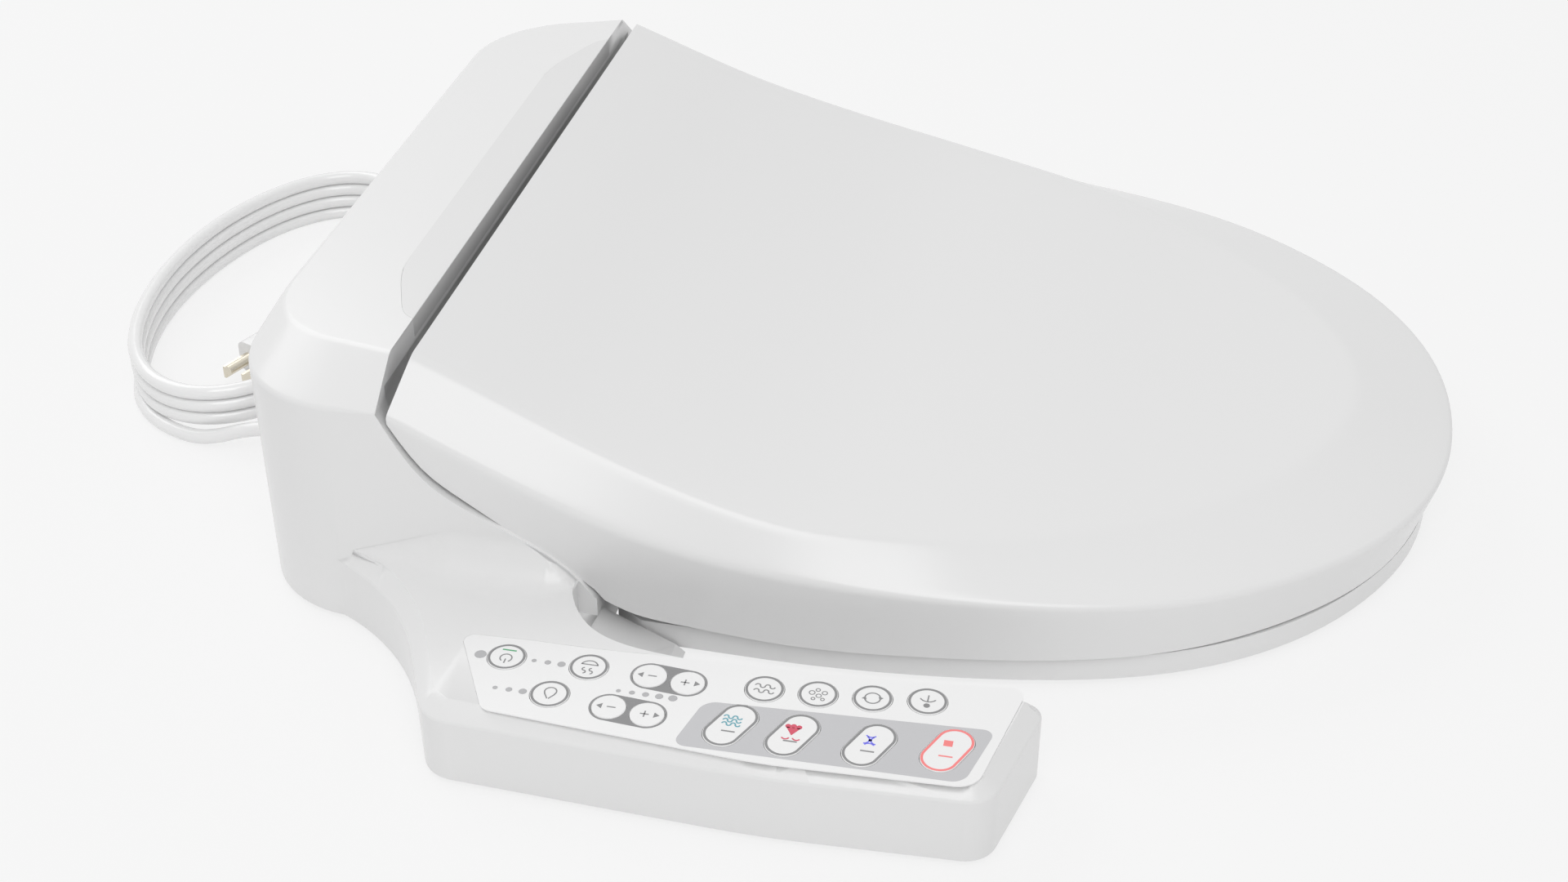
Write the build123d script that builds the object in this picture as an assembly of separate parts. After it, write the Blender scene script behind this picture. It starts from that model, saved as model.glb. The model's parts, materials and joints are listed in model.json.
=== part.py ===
from build123d import *
import os
from math import atan2, cos, hypot, radians, sin, tan

# Electric bidet seat for an elongated bowl, with a control panel on the user's right.
# Millimetres. +Z is up, -Y points to the front of the bowl and -X is the user's right.
# The origin is midway between the two bowl bolts, on the plane that rests on the bowl.

# ---- overall sizes ----
SIDE_X = 194.0             # half width of the housing and of the lid at the hinge
REAR_Y = 46.0              # rear wall
REAR_CORNER_R = 50.0       # plan radius of the two rear corners
WALL_FRONT_Y = -24.75      # front wall of the raised housing
HOUSING_TOP_Z = 123.3      # top of the housing at its front edge
HOUSING_REAR_Z = 119.5     # top of the housing at its rear edge
SHOULDER_Z = 107.0         # foot of the bevel round the housing top
COVER_Z = 2.5              # lower rim of the top cover
WALL = 2.8                 # moulded wall thickness
CHEEK_FRONT_Y = -112.0     # front ends of the two side cheeks
CHEEK_IN_X = 182.0         # inner face of the cheeks
HINGE_Y = -48.4            # hinge axis of seat and lid, along X
HINGE_Z = 104.0
HINGE_CLEAR_R = 25.2       # radius swept by the lid's rear edge, plus clearance
HINGE_PIN_R = 4.0
HINGE_RUN = 0.05           # radial running clearance on the pins
EYE_R = 8.2
OUTER_LUG_X = (144.0, 156.0)   # fixed lug of the cover
INNER_LUG_X = (98.0, 104.0)
SEAT_EYE_X = (128.0, 142.0)
LID_EYE_X = (158.0, 168.0)
DAMPER_X = (105.0, 126.0)

# ---- control arm ----
PANEL_Z = 37.8             # top of the control arm
ARM_BEVEL = 6.5
BUTTON_R = 7.6
OVERLAY_T = 0.5

# ---- bowl mounting ----
BOLT_SPACING = 140.0
SLOT_W = 8.6
SLOT_L = 32.0
PLATE_T = 4.0

# ---- water, air and electrical fittings ----
NOZZLE_X = 11.0            # the two nozzles stand either side of the middle
NOZZLE_TILT = 27.0         # degrees below level
NOZZLE_R = 6.0
NOZZLE_L = 112.0
NOZZLE_TIP = (-104.0, 20.0)    # y, z of a nozzle's front end at rest
DRYER_X = (42.0, 82.0)
DRYER_Z = (12.0, 34.0)
INLET_R = 10.4             # G1/2 male thread on the left side
INLET_L = 13.0
INLET_Y, INLET_Z = -11.5, 24.0
DRAIN_R = 8.0
DRAIN_Y, DRAIN_Z = -38.5, 20.0
RELEASE_Y = (-78.0, -54.0)
RELEASE_Z = (9.0, 21.0)
GLAND_R = 6.2
BLOWER_AT = (112.0, -14.0, 44.0)     # middle of the dryer's fan wheel
BLOWER_R = 26.0
PAN_Z = 4.4                # underside of the base pan's floor

# ---- lid curves: (half width, y) in plan, and (y, z) for heights ----
LID_REAR_Y = -33.4
LID_WALL = 3.0
LID_TOP_LINE = [(-20, 128.2), (-63, 110), (-90, 98.6), (-117, 88.7), (-144, 80.2), (-171, 73),
                (-198, 67.6), (-225, 64.2), (-279, 59.2), (-333, 55), (-412.7, 52.3), (-470, 51.6)]
LID_CREASE = [(170.2, -20), (175.8, -90), (181.4, -144), (182.6, -171), (181, -198), (175, -225),
              (157.2, -279), (125.9, -333), (72.2, -387), (0, -412.7)]
LID_EDGE = [(193, -20), (195.3, -90), (196.2, -150), (194.7, -204), (190, -252), (182, -299),
            (166.5, -346), (136, -393), (101, -426), (58, -448), (0, -457)]
LID_EDGE_LINE = [(-20, 110), (-71, 85.5), (-120, 66.5), (-171, 55), (-220, 49.6), (-299, 45.2),
                 (-377, 43), (-470, 39.5)]
FAN_Y = -225.0             # centre of the fan of sections round the front
SKIRT_Z = 16.0             # lower edge of the lid's skirt

# ---- split line between lid skirt and cheek, (y, z) on the cheek ----
SPLIT_LINE = [(-24.75, 106.6), (-29.5, 97), (-35, 87.3), (-42, 78), (-56, 67.3), (-109, 31.5), (-112, 29)]
SPLIT_GAP = 1.9

# ---- seat ring ----
SEAT_Z = 3.6               # underside of the seat ring
SEAT_REAR_X = 178.4        # half width between the cheeks
SEAT_TOP_LINE = [(-60, 97), (-90, 84.5), (-117, 73.5), (-144, 64), (-171, 56.5), (-198, 51),
                 (-225, 47.8), (-279, 44), (-333, 41.5), (-470, 38.5)]
SEAT_EDGE = [(186.5, -146), (187.2, -190), (184.5, -240), (177, -292), (163.5, -339), (135, -387),
             (100, -419), (58, -441), (0, -450)]
SEAT_STEP = 6.5            # the seat's body steps in above its foot, to clear the lid's skirt
SEAT_STEP_Z = 14.6
RIM_BEVEL = 5.5            # bevel of both rims of the surface sat on
BUMPER_R = 9.0
SEAT_BUMPERS = [(-148, -205), (148, -205), (-84, -398), (84, -398)]
LID_BUMPERS = [(-136, -232), (136, -232), (-56, -388), (56, -388)]

# ---- cord ----
CORD_D = 7.0
COIL_TURNS = 4
LEAD_EXIT = (-82.0, REAR_Y, 14.0)
GLAND_L = 26.0
# the lead drops to the floor behind the housing and runs into the lowest turn of the coil
LEAD_ROUTE = [(-82, 72, 14), (-82, 83, 14), (-82, 95, 11), (-82, 107, 6.4), (-82.3, 118, 3.8),
              (-82.6, 128, 3.6)]
# the other end leaves the top turn, comes down inside the coil and ends in the plug
TAIL_ROUTE = [(96, 68.5, 24.6), (76, 71, 23.5), (58, 77, 18), (42, 86, 11), (26, 95.5, 9), (10, 102, 9)]
COIL_CENTRE = (39.0, 122.0)
COIL_HALF = (114.0, 62.0)  # half length and half width to the middle of the cord



def half_curve(points, z=0.0):
    """Spline through (half width, y) points that meets the mid-plane squarely."""
    first, second = points[0], points[1]
    run = Vector(second[0] - first[0], second[1] - first[1], 0)
    return Spline(*[(x, y, z) for x, y in points], tangents=[run.normalized(), (-1, 0, 0)])


def plan_face(points, z=0.0):
    """Closed plan outline: a half curve, its mirror image and a straight rear edge."""
    right = half_curve(points, z)
    left = mirror(right, about=Plane.YZ)
    rear = Line(left @ 0, right @ 0)
    return make_face([right, left, rear])


def side_prism(points, x_from, x_to):
    """Prism along X over a polygon of (y, z) points."""
    outline = Polyline(*[(x_from, y, z) for y, z in points], close=True)
    return extrude(make_face(outline), amount=x_to - x_from, dir=(1, 0, 0))


def under_line(points, drop, x_half, floor_z):
    """Prism of everything below a smooth (y, z) line, lowered by drop."""
    top = Spline(*[(-x_half, y, z - drop) for y, z in points])
    ends = Polyline(top @ 1, (-x_half, points[-1][0], floor_z), (-x_half, points[0][0], floor_z), top @ 0)
    return extrude(make_face([top, ends]), amount=2 * x_half, dir=(1, 0, 0))


def grown(face, amount):
    """Face grown or shrunk by an amount, with its free curves drawn again as splines."""
    edges = []
    for edge in offset(face, amount=amount).face().outer_wire().edges():
        if edge.geom_type in (GeomType.LINE, GeomType.CIRCLE):
            edges.append(edge)
        else:
            count = max(4, min(40, round(edge.length / 8)))
            places = [edge @ (i / count) for i in range(count + 1)]
            edges.append(Spline(*places, tangents=[edge % 0, edge % 1]))
    return make_face(edges)


def bar(x0, x1, y0, y1, z0, z1):
    """Block between two opposite corners."""
    block = Box(abs(x1 - x0), abs(y1 - y0), abs(z1 - z0))
    return Pos((x0 + x1) / 2, (y0 + y1) / 2, (z0 + z1) / 2) * block


def rod_x(radius, x0, x1, y, z):
    """Round bar along X."""
    return Pos((x0 + x1) / 2, y, z) * (Rot(0, 90, 0) * Cylinder(radius, abs(x1 - x0)))


def rod_y(radius, y0, y1, x, z):
    """Round bar along Y."""
    return Pos(x, (y0 + y1) / 2, z) * (Rot(90, 0, 0) * Cylinder(radius, abs(y1 - y0)))


def rod_z(radius, z0, z1, x, y):
    """Round bar along Z."""
    return Pos(x, y, (z0 + z1) / 2) * Cylinder(radius, abs(z1 - z0))


def height_on(points, y):
    """Height of a smooth (y, z) line at a given y."""
    line = Spline(*[(0, py, pz) for py, pz in points])
    low, high = 0.0, 1.0
    for _ in range(40):
        middle = (low + high) / 2
        if (line @ middle).Y > y:
            low = middle
        else:
            high = middle
    return (line @ low).Z


def reach_at(points, angle):
    """Distance from the fan's centre to a half curve, along a ray turned by angle from +X to -Y."""
    curve = half_curve(points)
    low, high = 0.0, 1.0
    for _ in range(40):
        middle = (low + high) / 2
        point = curve @ middle
        if atan2(FAN_Y - point.Y, point.X) < angle:
            low = middle
        else:
            high = middle
    point = curve @ low
    return hypot(point.X, FAN_Y - point.Y)


def half_width_at(points, y):
    """Half width of a half curve at a given y."""
    curve = half_curve(points)
    low, high = 0.0, 1.0
    for _ in range(40):
        middle = (low + high) / 2
        if (curve @ middle).Y > y:
            low = middle
        else:
            high = middle
    return (curve @ low).X


# ---------------------------------------------------------------- lid
def lid_section(origin, ray, crease_r, edge_r, crease_z, edge_z, draft, inset):
    """Upright section of the lid: skirt, bevel and the bevel carried on past the crease."""
    slope = atan2(crease_z - edge_z, edge_r - crease_r)
    edge_r -= inset
    edge_z -= inset * (1 - sin(slope)) / cos(slope)
    crease_r -= inset * (1 - cos(slope)) / sin(slope)
    crease_z -= inset
    low_z, inner_r, on = -12.0, 40.0, 0.3
    low_r = edge_r - draft * (edge_z - low_z)
    up_r = crease_r - on * (edge_r - crease_r)
    up_z = crease_z + on * (crease_z - edge_z)
    shape = [(inner_r, low_z), (low_r, low_z), (edge_r, edge_z), (up_r, up_z), (inner_r, up_z + 40)]
    return Polyline(*[(origin[0] + r * ray[0], origin[1] + r * ray[1], z) for r, z in shape], close=True)


def lid_stations(inset):
    """Sections of the right half, from behind the hinge round to the tip."""
    sections = []
    for y in (-20, -60, -100, -140, -180):
        crease_r, edge_r = half_width_at(LID_CREASE, y), half_width_at(LID_EDGE, y)
        heights = height_on(LID_TOP_LINE, y), height_on(LID_EDGE_LINE, y)
        sections.append(((0, y), (1, 0), crease_r, edge_r, *heights, 0.10, inset))
    for degree in (0, 14, 28, 42, 55, 67, 79, 90):
        angle = radians(degree)
        ray = (cos(angle), -sin(angle))
        crease_r, edge_r = reach_at(LID_CREASE, angle), reach_at(LID_EDGE, angle)
        crease_z = height_on(LID_TOP_LINE, FAN_Y - crease_r * sin(angle))
        edge_z = height_on(LID_EDGE_LINE, FAN_Y - edge_r * sin(angle))
        draft = 0.10 + 0.22 * (degree / 90) ** 1.5
        sections.append(((0, FAN_Y), ray, crease_r, edge_r, crease_z, edge_z, draft, inset))
    return sections


def split_edge(shift_y, shift_z):
    """Curve along the upper edge of the cheek, shifted for the lid's side of the gap."""
    return Spline(*[(0, y + shift_y, z + shift_z) for y, z in SPLIT_LINE[:-1]])


def lid_volume(inset):
    """The lid's outer form, or its hollow when inset by the wall."""
    right = [lid_section(*s) for s in lid_stations(inset)]
    left = []
    for origin, ray, *rest in reversed(lid_stations(inset)[:-1]):
        left.append(lid_section(origin, (-ray[0], ray[1]), *rest))
    ring = loft([make_face(w) for w in right + left])
    core = bar(-70, 70, -20, FAN_Y, -12, 145) + rod_z(70, -12, 145, 0, FAN_Y)
    return (ring + core) & under_line(LID_TOP_LINE, inset, 215, -30)


def make_lid():
    outer = lid_volume(0)
    inner = lid_volume(LID_WALL) & bar(-230, 230, -470, LID_REAR_Y - LID_WALL, -40, 200)
    shell = outer - inner
    # the rear edge is straight across the flat top and turns back along the bevel
    rear = Polyline((-171, LID_REAR_Y), (171, LID_REAR_Y), (194.5, -28.8), (240, -28.8), (240, 20),
                    (-240, 20), (-240, -28.8), (-194.5, -28.8), close=True)
    shell -= Pos(0, 0, -40) * extrude(make_face(rear), amount=240)
    # skirt: follows the cheek at the rear and runs level round the front
    cheek = split_edge(-0.45 * SPLIT_GAP, SPLIT_GAP)
    side = Spline((0, -113.9, 27.5), (0, -124, 23), (0, -148, 19.6), (0, -187, 16.6), (0, -236, SKIRT_Z))
    rest = Polyline(side @ 1, (0, -480, SKIRT_Z), (0, -480, -40), (0, 0, -40), (0, 0, 108.5), cheek @ 0)
    below = make_face([cheek, Line(cheek @ 1, side @ 0), side, *rest.edges()])
    shell -= Pos(-230, 0, 0) * extrude(below, amount=460, dir=(1, 0, 0))
    # between the cheeks the rear wall is a short lip, notched where the fixed lugs stand
    shell -= bar(-186, 186, -45, 0, -40, 112)
    for side in (-1, 1):
        for low, high in (OUTER_LUG_X, INNER_LUG_X):
            shell -= bar(side * (low - 2), side * (high + 2), -38, -30, 100, 117)
        shell += lid_eye(side)
    return shell


def lid_eye(side):
    """Hinge eye under the lid, with the web that carries it."""
    x0, x1 = side * LID_EYE_X[0], side * LID_EYE_X[1]
    top_z = height_on(LID_TOP_LINE, HINGE_Y) - 4.5
    web = bar(x0, x1, HINGE_Y - 7, HINGE_Y + 7, HINGE_Z, top_z)
    eye = rod_x(EYE_R, x0, x1, HINGE_Y, HINGE_Z) + web
    return eye - rod_x(HINGE_PIN_R + HINGE_RUN, side * 150, side * 176, HINGE_Y, HINGE_Z)


# ---------------------------------------------------------------- housing, cheeks and control arm
def housing_outline(front_x, rear_x, rear_y, corner_r, front_y, z):
    """Plan wire: straight front, sides running back to two round rear corners."""
    corners = [(front_x, front_y, z), (rear_x, rear_y, z), (-rear_x, rear_y, z), (-front_x, front_y, z)]
    sides = FilletPolyline(*corners, radius=corner_r)
    return make_face([sides, Line(corners[-1], corners[0])])


def above_split(drop):
    """Everything over the upper edge of the cheeks, which the lid's skirt takes."""
    rest = Polyline((0, *SPLIT_LINE[-1]), (0, CHEEK_FRONT_Y, 20.5), (0, -130, 12), (0, -130, 150),
                    (0, WALL_FRONT_Y, 150), (0, *SPLIT_LINE[0]))
    edge = split_edge(0, 0) + Line((0, *SPLIT_LINE[-2]), (0, *SPLIT_LINE[-1]))
    face = make_face([*rest.edges(), *edge.edges()])
    return Pos(-220, 0, -drop) * extrude(face, amount=440, dir=(1, 0, 0))


def housing_form(inset):
    """Raised rear housing with its bevel, and the low part that runs forward between the cheeks."""
    side, rear = SIDE_X - inset, REAR_Y - inset
    radius = REAR_CORNER_R - inset
    low_z = COVER_Z if inset == 0 else -5
    foot = housing_outline(side, side, rear, radius, WALL_FRONT_Y + inset, SHOULDER_Z)
    crown = housing_outline(171.2 - inset, 148 - inset, 37 - inset, 55 - inset, WALL_FRONT_Y + inset, 124.5)
    form = loft([foot, crown])
    form += Pos(0, 0, low_z - SHOULDER_Z) * extrude(foot, amount=SHOULDER_Z - low_z, dir=(0, 0, 1))
    wall_y = WALL_FRONT_Y + inset
    front_half = side if inset == 0 else CHEEK_IN_X - inset
    form += bar(-front_half, front_half, CHEEK_FRONT_Y + inset, wall_y + 1, low_z, SHOULDER_Z - inset)
    if inset:
        cheek_room = [(wall_y + 1, low_z), (wall_y + 1, 66), (-60, 48), (-106, 17), (-106, low_z)]
        form += side_prism(cheek_room, -side, side)
    above = [(WALL_FRONT_Y - 0.01, HOUSING_TOP_Z - inset), (REAR_Y, HOUSING_REAR_Z - inset), (REAR_Y, 150),
             (WALL_FRONT_Y - 0.01, 150)]
    form -= side_prism(above, -220, 220)
    deck = [(wall_y, 150), (wall_y, 84), (-38, 78.8), (-58, 76.5), (-90, 66), (-130, 50), (-130, 150)]
    form -= Pos(0, 0, -inset) * side_prism(deck, -CHEEK_IN_X, CHEEK_IN_X)
    if inset == 0:
        form -= rod_x(HINGE_CLEAR_R, -CHEEK_IN_X, CHEEK_IN_X, HINGE_Y, HINGE_Z)
        form -= above_split(0)
    return form


def arm_outline():
    """Plan face of the control arm, from the flare behind it round to its inner edge."""
    outer = FilletPolyline((-160, 72), (-210.1, -34.6), (-281.5, -68.2), (-287.9, -200), (-284.3, -285),
                           (-226.2, -299.6), (-225.2, -288), radius=[110, 16, 420, 13, 7])
    inner = Spline((-225.2, -288), (-230.4, -242), (-234, -185), (-232.5, -146), (-222.5, -118), (-200, -104),
                   tangents=[(-0.12, 1), (1, 0.25)])
    back = Polyline((-200, -104), (-150, -104), (-150, 72), (-160, 72))
    return make_face([*outer.edges(), *inner.edges(), *back.edges()])


def arm_form():
    """The arm's solid, with the bevel round its outer edge."""
    form = Pos(0, 0, COVER_Z) * extrude(arm_outline(), amount=PANEL_Z - COVER_Z)
    top = form.faces().sort_by(Axis.Z)[-1]
    rim = [edge for edge in top.edges() if is_outer_rim(edge)]
    form = chamfer(rim, ARM_BEVEL)
    return form & bar(-330, -SIDE_X + 6, -320, 40, -10, 60)


def arm_hollow():
    """Room inside the arm, stepped in under the bevel."""
    wide = Pos(0, 0, -5) * extrude(grown(arm_outline(), -WALL), amount=PANEL_Z - ARM_BEVEL - 2 + 5)
    narrow = Pos(0, 0, -5) * extrude(grown(arm_outline(), -ARM_BEVEL - 1), amount=PANEL_Z - WALL + 5)
    return (wide + narrow) & bar(-330, -SIDE_X - 0.5, -320, 40, -10, 60)


def is_outer_rim(edge):
    """True for the rim edges that carry the wide bevel: flare, outer wall and front end."""
    middle = edge @ 0.5
    on_inner_side = middle.X > -236 and -292 < middle.Y < -100
    inside_housing = middle.X > -195 and middle.Y < 73 and middle.Y > -104.5
    return not on_inner_side and not (inside_housing and middle.X > -170)


def blend_section(radius, y):
    """Section of the concave blend between the cheek's wall and the arm's top."""
    x, z, lap = -SIDE_X, PANEL_Z, 1.0
    bend = radius * (1 - cos(radians(45)))
    arc = ThreePointArc((x, y, z + radius), (x - bend, y, z + bend), (x - radius, y, z))
    rest = Polyline((x - radius, y, z), (x - radius, y, z - lap), (x + lap, y, z - lap), (x + lap, y, z + radius),
                    (x, y, z + radius))
    return make_face([arc, *rest.edges()])


def cheek_blend():
    """Concave blend where the near cheek stands on the arm, running out where the arm narrows."""
    full, thin = 17.0, 1.5
    middle = extrude(blend_section(full, -92), amount=40, dir=(0, 1, 0))
    back = loft([blend_section(full, -52), blend_section(thin, -8)], ruled=True)
    front = loft([blend_section(thin, CHEEK_FRONT_Y + 1), blend_section(full, -92)])
    return middle + back + front


def lens_plan(grow):
    """Plan face of the display lens on the housing's front top edge."""
    half, depth, front = 146.0 + grow, 20.0 + grow, WALL_FRONT_Y - 3
    right = Spline((half, WALL_FRONT_Y), (131 + grow, WALL_FRONT_Y + 10.5), (96, WALL_FRONT_Y + depth),
                   tangents=[(-0.45, 1), (-1, 0)])
    left = mirror(right, about=Plane.YZ)
    rest = Polyline((half, WALL_FRONT_Y), (half, front), (-half, front), (-half, WALL_FRONT_Y))
    return make_face([right, left, Line(right @ 1, left @ 1), *rest.edges()])


def lens_form(grow, sink):
    """The lens follows the housing top and turns down over its front edge."""
    slope = (HOUSING_TOP_Z - HOUSING_REAR_Z) / (REAR_Y - WALL_FRONT_Y)
    run = 24.0
    top, low = HOUSING_TOP_Z, HOUSING_TOP_Z - 8.5 - grow
    skin = [(WALL_FRONT_Y - sink, top + 0.15), (WALL_FRONT_Y + run, top + 0.15 - slope * run),
            (WALL_FRONT_Y + run, top - 1.2 - slope * run), (WALL_FRONT_Y + 1.2, top - 1.2),
            (WALL_FRONT_Y + 1.2, low), (WALL_FRONT_Y - sink, low)]
    return side_prism(skin, -160, 160) & (Pos(0, 0, 90) * extrude(lens_plan(grow), amount=50))


def overlay_outline(grow):
    """Plan face of the printed overlay on the control arm."""
    ends = (-235.4, -100), (-226.6, -272)
    outer = FilletPolyline(ends[0], (-236.8, -69.5), (-278.6, -91.5), (-286.4, -200), (-283.2, -279.2),
                           (-224.2, -291.5), ends[1], radius=[4, 6, 200, 10, 5])
    inner = Spline(ends[1], (-231.6, -215), (-233.9, -155), ends[0], tangents=[(-0.11, 1), (0.03, 1)])
    face = make_face([*outer.edges(), inner])
    return grown(face, grow) if grow else face


# round keys: name and place of the centre
ROUND_KEYS = {"power": (-247.3, -91.6), "seat_heat": (-246.7, -124.5), "water_heat": (-265.1, -114.4),
              "massage": (-245.4, -193.4), "aerated": (-244.2, -213.9), "auto": (-242.3, -234.5),
              "kids": (-239.7, -255.1)}
# wide keys of the main row, slanted across the arm
WIDE_KEYS = {"dry": (-268.3, -185.5), "bidet": (-269.0, -209.1), "wash": (-268.5, -237.9), "stop": (-265.3, -266.4)}
WIDE_KEY_R = 7.3
WIDE_KEY_HALF = 5.4        # half distance between the two end centres
WIDE_KEY_TURN = -24.0      # degrees from X
# rocker pairs: names of the rear and the front key, and place of the centre
ROCKERS = {("pressure_low", "pressure_high"): (-247.5, -156.4), ("nozzle_back", "nozzle_front"): (-268.3, -145.9)}
ROCKER_HALF = 7.6          # half distance between the two key centres
ROCKER_R = 6.6


def key_places():
    """Every key: name -> (x, y, kind)."""
    places = {name: (x, y, "round") for name, (x, y) in ROUND_KEYS.items()}
    places.update({name: (x, y, "wide") for name, (x, y) in WIDE_KEYS.items()})
    for (rear, front), (x, y) in ROCKERS.items():
        places[rear] = (x + 0.6, y + ROCKER_HALF, "rocker")
        places[front] = (x - 0.6, y - ROCKER_HALF, "rocker")
    return places


def key_plan(place, grow):
    """Plan face of one key, or of its window when grown."""
    x, y, kind = place
    if kind == "wide":
        slot = SlotCenterToCenter(2 * WIDE_KEY_HALF, 2 * (WIDE_KEY_R + grow))
        return Pos(x, y) * (Rot(0, 0, WIDE_KEY_TURN) * slot)
    radius = ROCKER_R if kind == "rocker" else BUTTON_R
    return Pos(x, y) * Circle(radius + grow)


def make_key(place):
    """Key cap: it stands 0.3 mm proud and ends in a stem over its switch."""
    x, y, kind = place
    cap = Pos(0, 0, PANEL_Z - 2.2) * extrude(key_plan(place, 0), amount=2.5)
    cap = chamfer(cap.faces().sort_by(Axis.Z)[-1].edges(), 0.25)
    return cap + bar(x - 1.5, x + 1.5, y - 1.5, y + 1.5, PANEL_Z - 9.0, PANEL_Z - 2.2)


def make_cover():
    """Top cover: housing, cheeks and control arm in one moulding, open below."""
    cover = housing_form(0) + arm_form() + (cheek_blend() - above_split(0.8))
    # web that closes the foot of the gap between cheek and arm
    cover += side_prism([(-100, COVER_Z), (-100, 21), (-112.5, 20.5), (-143, 6), (-147, COVER_Z)], -232, -188)
    cover -= housing_form(WALL)
    cover -= arm_hollow()
    cover -= lens_form(0.12, 3.0)
    for side in (-1, 1):
        for low, high in (OUTER_LUG_X, INNER_LUG_X):
            lug = bar(side * low, side * high, HINGE_Y - 7.5, HINGE_Y + 6.5, 72, HINGE_Z)
            cover += lug + rod_x(EYE_R, side * low, side * high, HINGE_Y, HINGE_Z)
            cover -= rod_x(HINGE_PIN_R + 0.02, side * (low - 4), side * (high + 4), HINGE_Y, HINGE_Z)
    # front wall: nozzle window and dryer window; side wall: inlet, drain and release button
    cover -= bar(-NOZZLE_X - 9, NOZZLE_X + 9, -120, -100, 9, 31)
    cover -= bar(*DRYER_X, -120, -100, *DRYER_Z)
    cover -= rod_x(INLET_R + 1.6, 185, 200, INLET_Y, INLET_Z)
    cover -= rod_x(DRAIN_R + 0.4, 185, 200, DRAIN_Y, DRAIN_Z)
    cover -= bar(185, 200, *RELEASE_Y, *RELEASE_Z)
    cover -= rod_y(GLAND_R + 0.1, 38, 50, LEAD_EXIT[0], LEAD_EXIT[2])
    # shallow bed of the overlay and the windows of the keys
    cover -= Pos(0, 0, PANEL_Z - OVERLAY_T) * extrude(overlay_outline(0.15), amount=3)
    for place in key_places().values():
        cover -= Pos(0, 0, PANEL_Z - 6) * extrude(key_plan(place, 0.25), amount=8)
    return cover

# ---------------------------------------------------------------- seat ring
def moved_in(points, amount):
    """Points of a (half width, y) curve moved square to it, towards the inside."""
    moved = []
    for i, (x, y) in enumerate(points):
        x0, y0 = points[max(i - 1, 0)]
        x1, y1 = points[min(i + 1, len(points) - 1)]
        run = hypot(x1 - x0, y1 - y0)
        if x == 0:
            moved.append((0, y + amount))
        else:
            moved.append((x + amount * (y1 - y0) / run, y - amount * (x1 - x0) / run))
    return moved


def seat_plan(inset, rear_y=-60.0):
    """Plan face of the seat ring's outer edge: narrow between the cheeks, full width in front."""
    front_y = -128.0
    points = [(half_width_at(SEAT_EDGE, -146.1) - 0.4 - inset, front_y)] + moved_in(SEAT_EDGE, inset)
    right = half_curve(points)
    half = SEAT_REAR_X - inset
    rear = Polyline((points[0][0], front_y), (half, -117), (half, rear_y), (-half, rear_y), (-half, -117),
                    (-points[0][0], front_y))
    return make_face([right, mirror(right, about=Plane.YZ), *rear.edges()])


def seat_opening(grow):
    """Egg-shaped opening over the bowl, wider all round by grow."""
    wide, long, middle = 1 + grow / 111, 1 + grow / 128, -269.75
    right = [(62, -150), (101, -192), (111, -252), (99, -318), (62, -374)]
    shape = [(0, -141.5), *right, (0, -398), *[(-x, y) for x, y in reversed(right)]]
    return make_face(Spline(*[(x * wide, middle + (y - middle) * long) for x, y in shape], periodic=True))


def seat_layer(inset, step, high, rim_bevel=0):
    """One storey of the ring: a plan stepped in by step, cut to the surface line and the opening."""
    low = SEAT_Z if inset == 0 else SEAT_Z - 10
    form = Pos(0, 0, low) * extrude(seat_plan(inset + step, -60 - inset), amount=high - low)
    form &= under_line(SEAT_TOP_LINE, inset, 200, -20)
    form -= Pos(0, 0, -20) * extrude(seat_opening(1.2 * inset), amount=200)
    if rim_bevel:
        top = max(form.faces().filter_by(lambda f: f.normal_at().Z > 0.5), key=lambda f: f.area)
        form = chamfer([edge for edge in top.edges() if edge.length > 380], rim_bevel)
    # the rear bridge is a shallow shell over the housing's deck and the nozzles
    drop = 12.5 if inset == 0 else 12.5 + 10
    under = [(y, z - drop) for y, z in SEAT_TOP_LINE if y > -145]
    lower = [(under[0][0] + 1, under[0][1] + 0.5)] + under
    rear_low = [p for p in lower if p[0] > -118] + [(-116 - inset, height_on(SEAT_TOP_LINE, -116) - drop)]
    form -= side_prism(rear_low + [(-116 - inset, -30), (-59, -30)], -190, 190)
    form -= side_prism(lower + [(-170, 43 if inset == 0 else 33), (-170, -30), (-59, -30)], -96 - inset, 96 + inset)
    return form


def make_seat_upper():
    """Upper seat shell: the surface sat on, bevelled at both rims, open below, on a wider foot."""
    shell = seat_layer(0, SEAT_STEP, 160, RIM_BEVEL) + seat_layer(0, 0, SEAT_STEP_Z)
    shell -= seat_layer(WALL, SEAT_STEP, 160) + seat_layer(WALL, 0, SEAT_STEP_Z - WALL)
    for side in (-1, 1):
        x0, x1 = side * SEAT_EYE_X[0], side * SEAT_EYE_X[1]
        arm = side_prism([(-52, 110.5), (-63, 95.6), (-63, 86), (-56, 88), (-45, 97)], x0, x1)
        shell += arm + rod_x(EYE_R, x0, x1, HINGE_Y, HINGE_Z)
        shell -= rod_x(HINGE_PIN_R + HINGE_RUN, side * 120, side * 150, HINGE_Y, HINGE_Z)
    return shell


def make_seat_lower():
    """Lower seat shell: the flat tray that closes the ring from below."""
    ring = seat_plan(WALL + 0.2) - seat_opening(1.2 * WALL + 0.3)
    tray = Pos(0, 0, SEAT_Z) * extrude(ring, amount=2.6)
    tray -= bar(-200, 200, -119.2, 0, 0, 20)
    tray -= bar(-96 - WALL - 0.2, 96 + WALL + 0.2, -173.2, 0, 0, 20)
    return tray


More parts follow.
